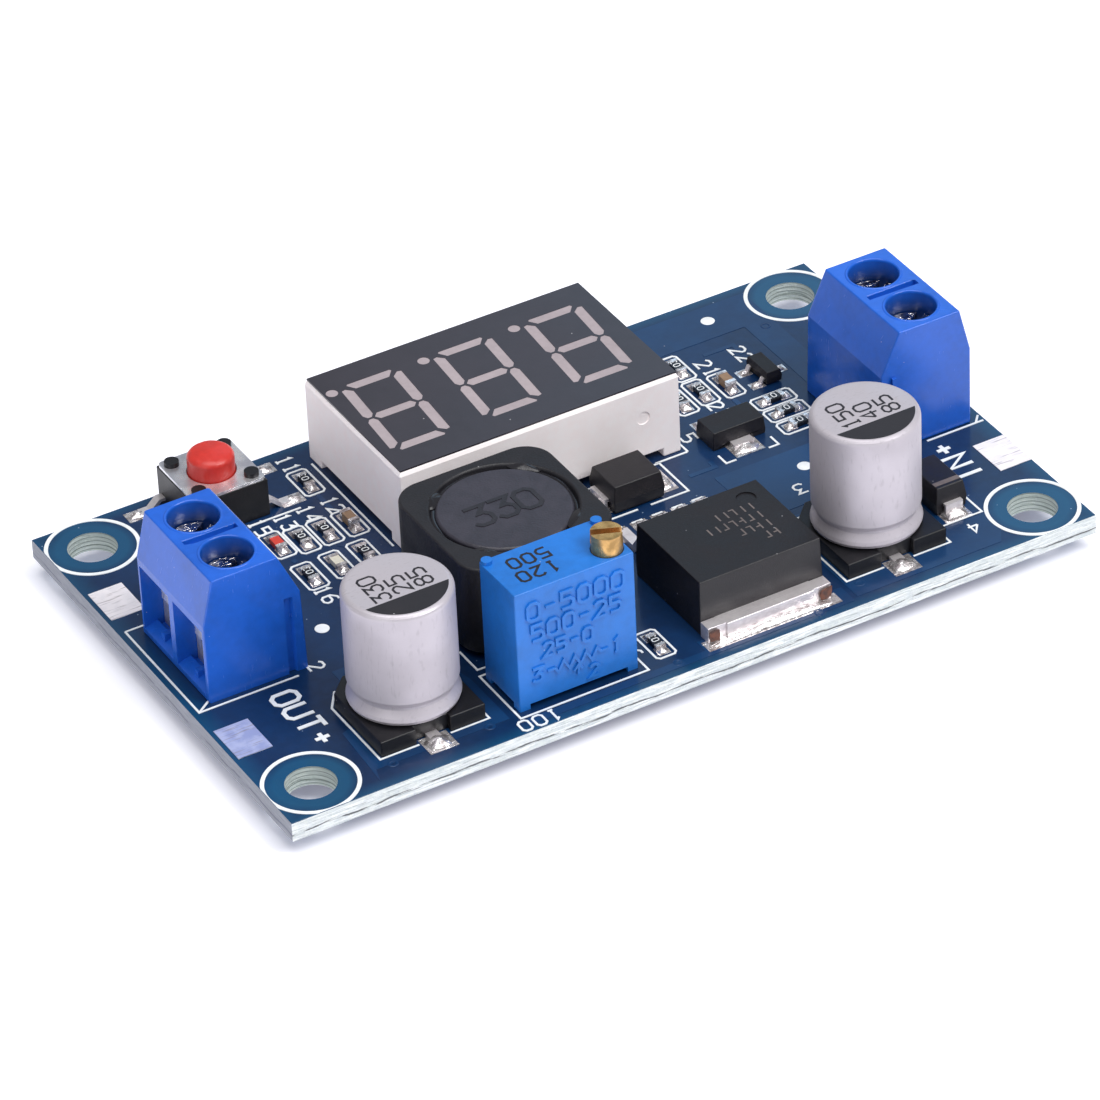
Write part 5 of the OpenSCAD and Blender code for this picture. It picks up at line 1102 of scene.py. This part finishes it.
class MODULE_OT_inductor_glue(bpy.types.Operator):
    """Fills the gap between the inductor's drum and shield with adhesive in uneven drops"""
    bl_idname = "module.inductor_glue"
    bl_label = "Inductor adhesive"

    def execute(self, context):
        _, high, at = span("inductor_drum")
        half_gap = 0.17
        middle = radius("inductor_drum") + half_gap
        angle = turns(96)
        wave = waves(11, (2, 3, 5, 7, 9, 13), angle)
        level = high[2] - 0.28 + 0.12 * wave / np.abs(wave).max()
        section = np.array([(-half_gap, -1.2), (half_gap, -1.2), (half_gap, 0.0), (0.06, 0.05),
                            (-0.06, 0.05), (-half_gap, 0.0)])
        rings = np.empty((len(angle), len(section), 3))
        rings[..., :2] = circle(at, middle + section[:, 0], angle[:, None])
        rings[..., 2] = level[:, None] + section[:, 1]
        shapes = [loft(rings, True)]
        for i in range(4):
            turn = math.pi / 4 + i * math.pi / 2
            half = (0.55 + 0.1 * (i % 2), 1.35 - 0.15 * (i % 3))
            spot = (*circle(at, middle + 0.25, turn), high[2] - 0.12)
            shapes.append(bead(spot, half, 0.26, power=2.2, turn=turn, seed=20 + i, around=40))
        piece("inductor_adhesive", shapes, "glue")
        return {"FINISHED"}


class MODULE_OT_trimmer_marks(bpy.types.Operator):
    """Raises the resistor sign and its pin numbers on the trimmer's front, and prints its top"""
    bl_idname = "module.trimmer_marks"
    bl_label = "Trimmer marks"

    def execute(self, context):
        sizes = context.scene.module_sizes
        low, high, at = span("trimmer_case")
        middle = (high[0] - low[0]) / 2
        proud = sizes.emboss / MM
        sign = 2.75
        zigzag = [(3.15 + i * 0.45, sign + (0.42 if i % 2 else -0.42)) for i in range(8)]
        zigzag = [(2.3, sign), (2.9, sign)] + zigzag + [(6.6, sign), (7.2, sign)]
        signs = [ribbon(zigzag, 0.2, DEEP, proud),
                 ribbon([(4.75, 1.5), (4.75, 2.3)], 0.2, DEEP, proud + STEP),
                 ribbon([(4.4, 1.9), (4.75, 2.35), (5.1, 1.9)], 0.18, DEEP, proud + 2 * STEP)]
        for word, x, y, size in (
            ("1", 7.9, sign, 1.1), ("3", 1.5, sign, 1.1), ("2", 6.0, 1.35, 0.95),
            ("0-5000", middle, 8.2, 1.4), ("500-25", middle, 6.35, 1.3),
            ("25-0", middle * 0.84, 4.6, 1.1),
        ):
            signs += lettering(word, size, 0.24, (DEEP, proud), (x, y, 0), pitch=1.45)
        piece("trimmer_embossing", placed(signs, low, upright=True), "trimmer_blue")
        top = max(high[2] - sizes.nub / MM, span("trimmer_plate")[1][2])
        printed = []
        for word, x, y in (("500", -1.7, 0.95), ("120", -1.9, -0.75)):
            printed += lettering(word, 1.15, 0.2, (SHALLOW, PRINT),
                                 (at[0] + x, at[1] + y, top), 180)
        piece("trimmer_print", printed, "print_black")
        return {"FINISHED"}


class MODULE_OT_snap_dome(bpy.types.Operator):
    """Makes the button's snap dome in its rest shape, though a real one flattens as the cap is pressed:
    a dished disc whose height goes with the sine of the share of the way in from its rim"""
    bl_idname = "module.snap_dome"
    bl_label = "Snap dome"

    def execute(self, context):
        low, high, at = span("button_dome")
        foot = np.array([*at[:2], low[2]])
        thick = 0.1
        share = np.linspace(0, 1, 25)
        reach = np.maximum(radius("button_dome") * (1 - share), 0.02)
        height = (high[2] - low[2] - thick) * np.sin(np.pi / 2 * share)
        section = np.vstack([np.stack([reach, height], -1)[::-1],
                             np.stack([reach, height + thick], -1)])
        dome = piece("button_snap_dome", [loft(lathe(section, foot, 64))], "plated_steel")
        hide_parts("button_dome")
        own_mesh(dome)
        return {"FINISHED"}


def stood(name, data, right, up, back, at):
    """An object with its x, y and z axes along right, up and back, at a place."""
    made = bpy.data.objects.new(name, data)
    turn = np.eye(4)
    turn[:3] = np.transpose([right, up, back, at])
    made.matrix_world = Matrix(turn.tolist())
    bpy.context.scene.collection.objects.link(made)
    return made


class MODULE_OT_studio(bpy.types.Operator):
    """Sets the pale floor, the soft lights and the camera at the photograph's angle"""
    bl_idname = "module.studio"
    bl_label = "Studio"

    def execute(self, context):
        scene = context.scene
        settings = scene.module_studio
        # Floor: a fine flat grid at the level that the pins stand on
        count = 25
        side = np.linspace(-1, 1, count) * settings.floor
        x, y = np.meshgrid(side, side)
        points = np.stack([x, y, np.full_like(x, FLOOR * MM)], -1).reshape(-1, 3)
        cell = (np.arange(count - 1)[:, None] * count + np.arange(count - 1)).reshape(-1, 1)
        mesh = bpy.data.meshes.new("floor")
        mesh.from_pydata(points.tolist(), [], (cell + [0, 1, count + 1, count]).tolist())
        floor = bpy.data.objects.new("floor", mesh)
        scene.collection.objects.link(floor)
        paper = Finish("floor_paper", Roughness=0.9, Emission_Color=(0.86, 0.86, 1.0, 1),
                       Emission_Strength=0.24)
        paper.set(Base_Color=paper.mix(paper.cloud(60.0, 0.3, 0.7), (0.94, 0.93, 0.97, 1),
                                       (0.95, 0.945, 0.98, 1)))
        mesh.materials.append(paper.material)
        world = bpy.data.worlds.new("studio")
        world.use_nodes = True
        sky = world.node_tree.nodes["Background"]
        sky.inputs["Color"].default_value = (0.95, 0.96, 1.0, 1)
        sky.inputs["Strength"].default_value = settings.sky
        scene.world = world
        for name, power, size, at, tone in (
            ("key", settings.key, 0.4, (0.3, -0.42, 0.6), (1, 1, 1)),
            ("overhead", settings.overhead, 0.7, (-0.05, -0.1, 0.85), (1, 1, 1)),
            ("fill", settings.fill, 0.5, (-0.6, -0.3, 0.4), (1, 1, 1)),
            ("card", settings.card, 0.22, (0.265, 0.3, 0.25), (0.42, 0.72, 1)),
        ):
            lamp = bpy.data.lights.new(name, "AREA")
            lamp.energy, lamp.size, lamp.shape, lamp.color = power, size, "DISK", tone
            back = np.array(at) / np.linalg.norm(at)
            right = np.cross((0, 0, 1), back)
            right /= np.linalg.norm(right)
            stood(name, lamp, right, np.cross(back, right), back, at)
        data = bpy.data.cameras.new("camera")
        data.lens, data.sensor_width, data.clip_start, data.clip_end = settings.lens, 36, 0.01, 20
        data.dof.use_dof = False
        scene.camera = stood("camera", data, (0.86393, -0.502, -0.04017), (0.32132, 0.48805, 0.81152),
                             (-0.38778, -0.714, 0.58295), (-0.185972, -0.340412, 0.277946))
        scene.view_settings.view_transform = "Standard"
        return {"FINISHED"}


OPERATORS = (
    MODULE_OT_finishes, MODULE_OT_edges, MODULE_OT_well_rims, MODULE_OT_copper, MODULE_OT_silk,
    MODULE_OT_legends, MODULE_OT_solder, MODULE_OT_capacitor_marks, MODULE_OT_body_marks,
    MODULE_OT_inductor_glue, MODULE_OT_trimmer_marks, MODULE_OT_snap_dome, MODULE_OT_studio,
)


class MODULE_PT_panel(bpy.types.Panel):
    """Lists the settings and the steps in their order"""
    bl_label = "Buck converter module"
    bl_idname = "MODULE_PT_panel"
    bl_space_type = "VIEW_3D"
    bl_region_type = "UI"
    bl_category = "Module"

    def draw(self, context):
        scene = context.scene
        for group in (scene.module_colours, scene.module_sizes, scene.module_studio):
            column = self.layout.box().column(align=True)
            for key in group.bl_rna.properties.keys():
                if key not in ("rna_type", "name"):
                    column.prop(group, key)
        for step in OPERATORS:
            self.layout.operator(step.bl_idname)


CLASSES = (ModuleColours, ModuleSizes, StudioSettings) + OPERATORS + (MODULE_PT_panel,)


def register():
    for kind in CLASSES:
        bpy.utils.register_class(kind)
    bpy.types.Scene.module_colours = bpy.props.PointerProperty(type=ModuleColours)
    bpy.types.Scene.module_sizes = bpy.props.PointerProperty(type=ModuleSizes)
    bpy.types.Scene.module_studio = bpy.props.PointerProperty(type=StudioSettings)


def unregister():
    del bpy.types.Scene.module_studio
    del bpy.types.Scene.module_sizes
    del bpy.types.Scene.module_colours
    for kind in reversed(CLASSES):
        bpy.utils.unregister_class(kind)


def main():
    register()
    bpy.ops.module.finishes()
    bpy.ops.module.edges()
    bpy.ops.module.well_rims()
    bpy.ops.module.copper()
    bpy.ops.module.silk()
    bpy.ops.module.legends()
    bpy.ops.module.solder()
    bpy.ops.module.capacitor_marks()
    bpy.ops.module.body_marks()
    bpy.ops.module.inductor_glue()
    bpy.ops.module.trimmer_marks()
    bpy.ops.module.snap_dome()
    bpy.ops.module.studio()


if __name__ == "__main__":
    main()
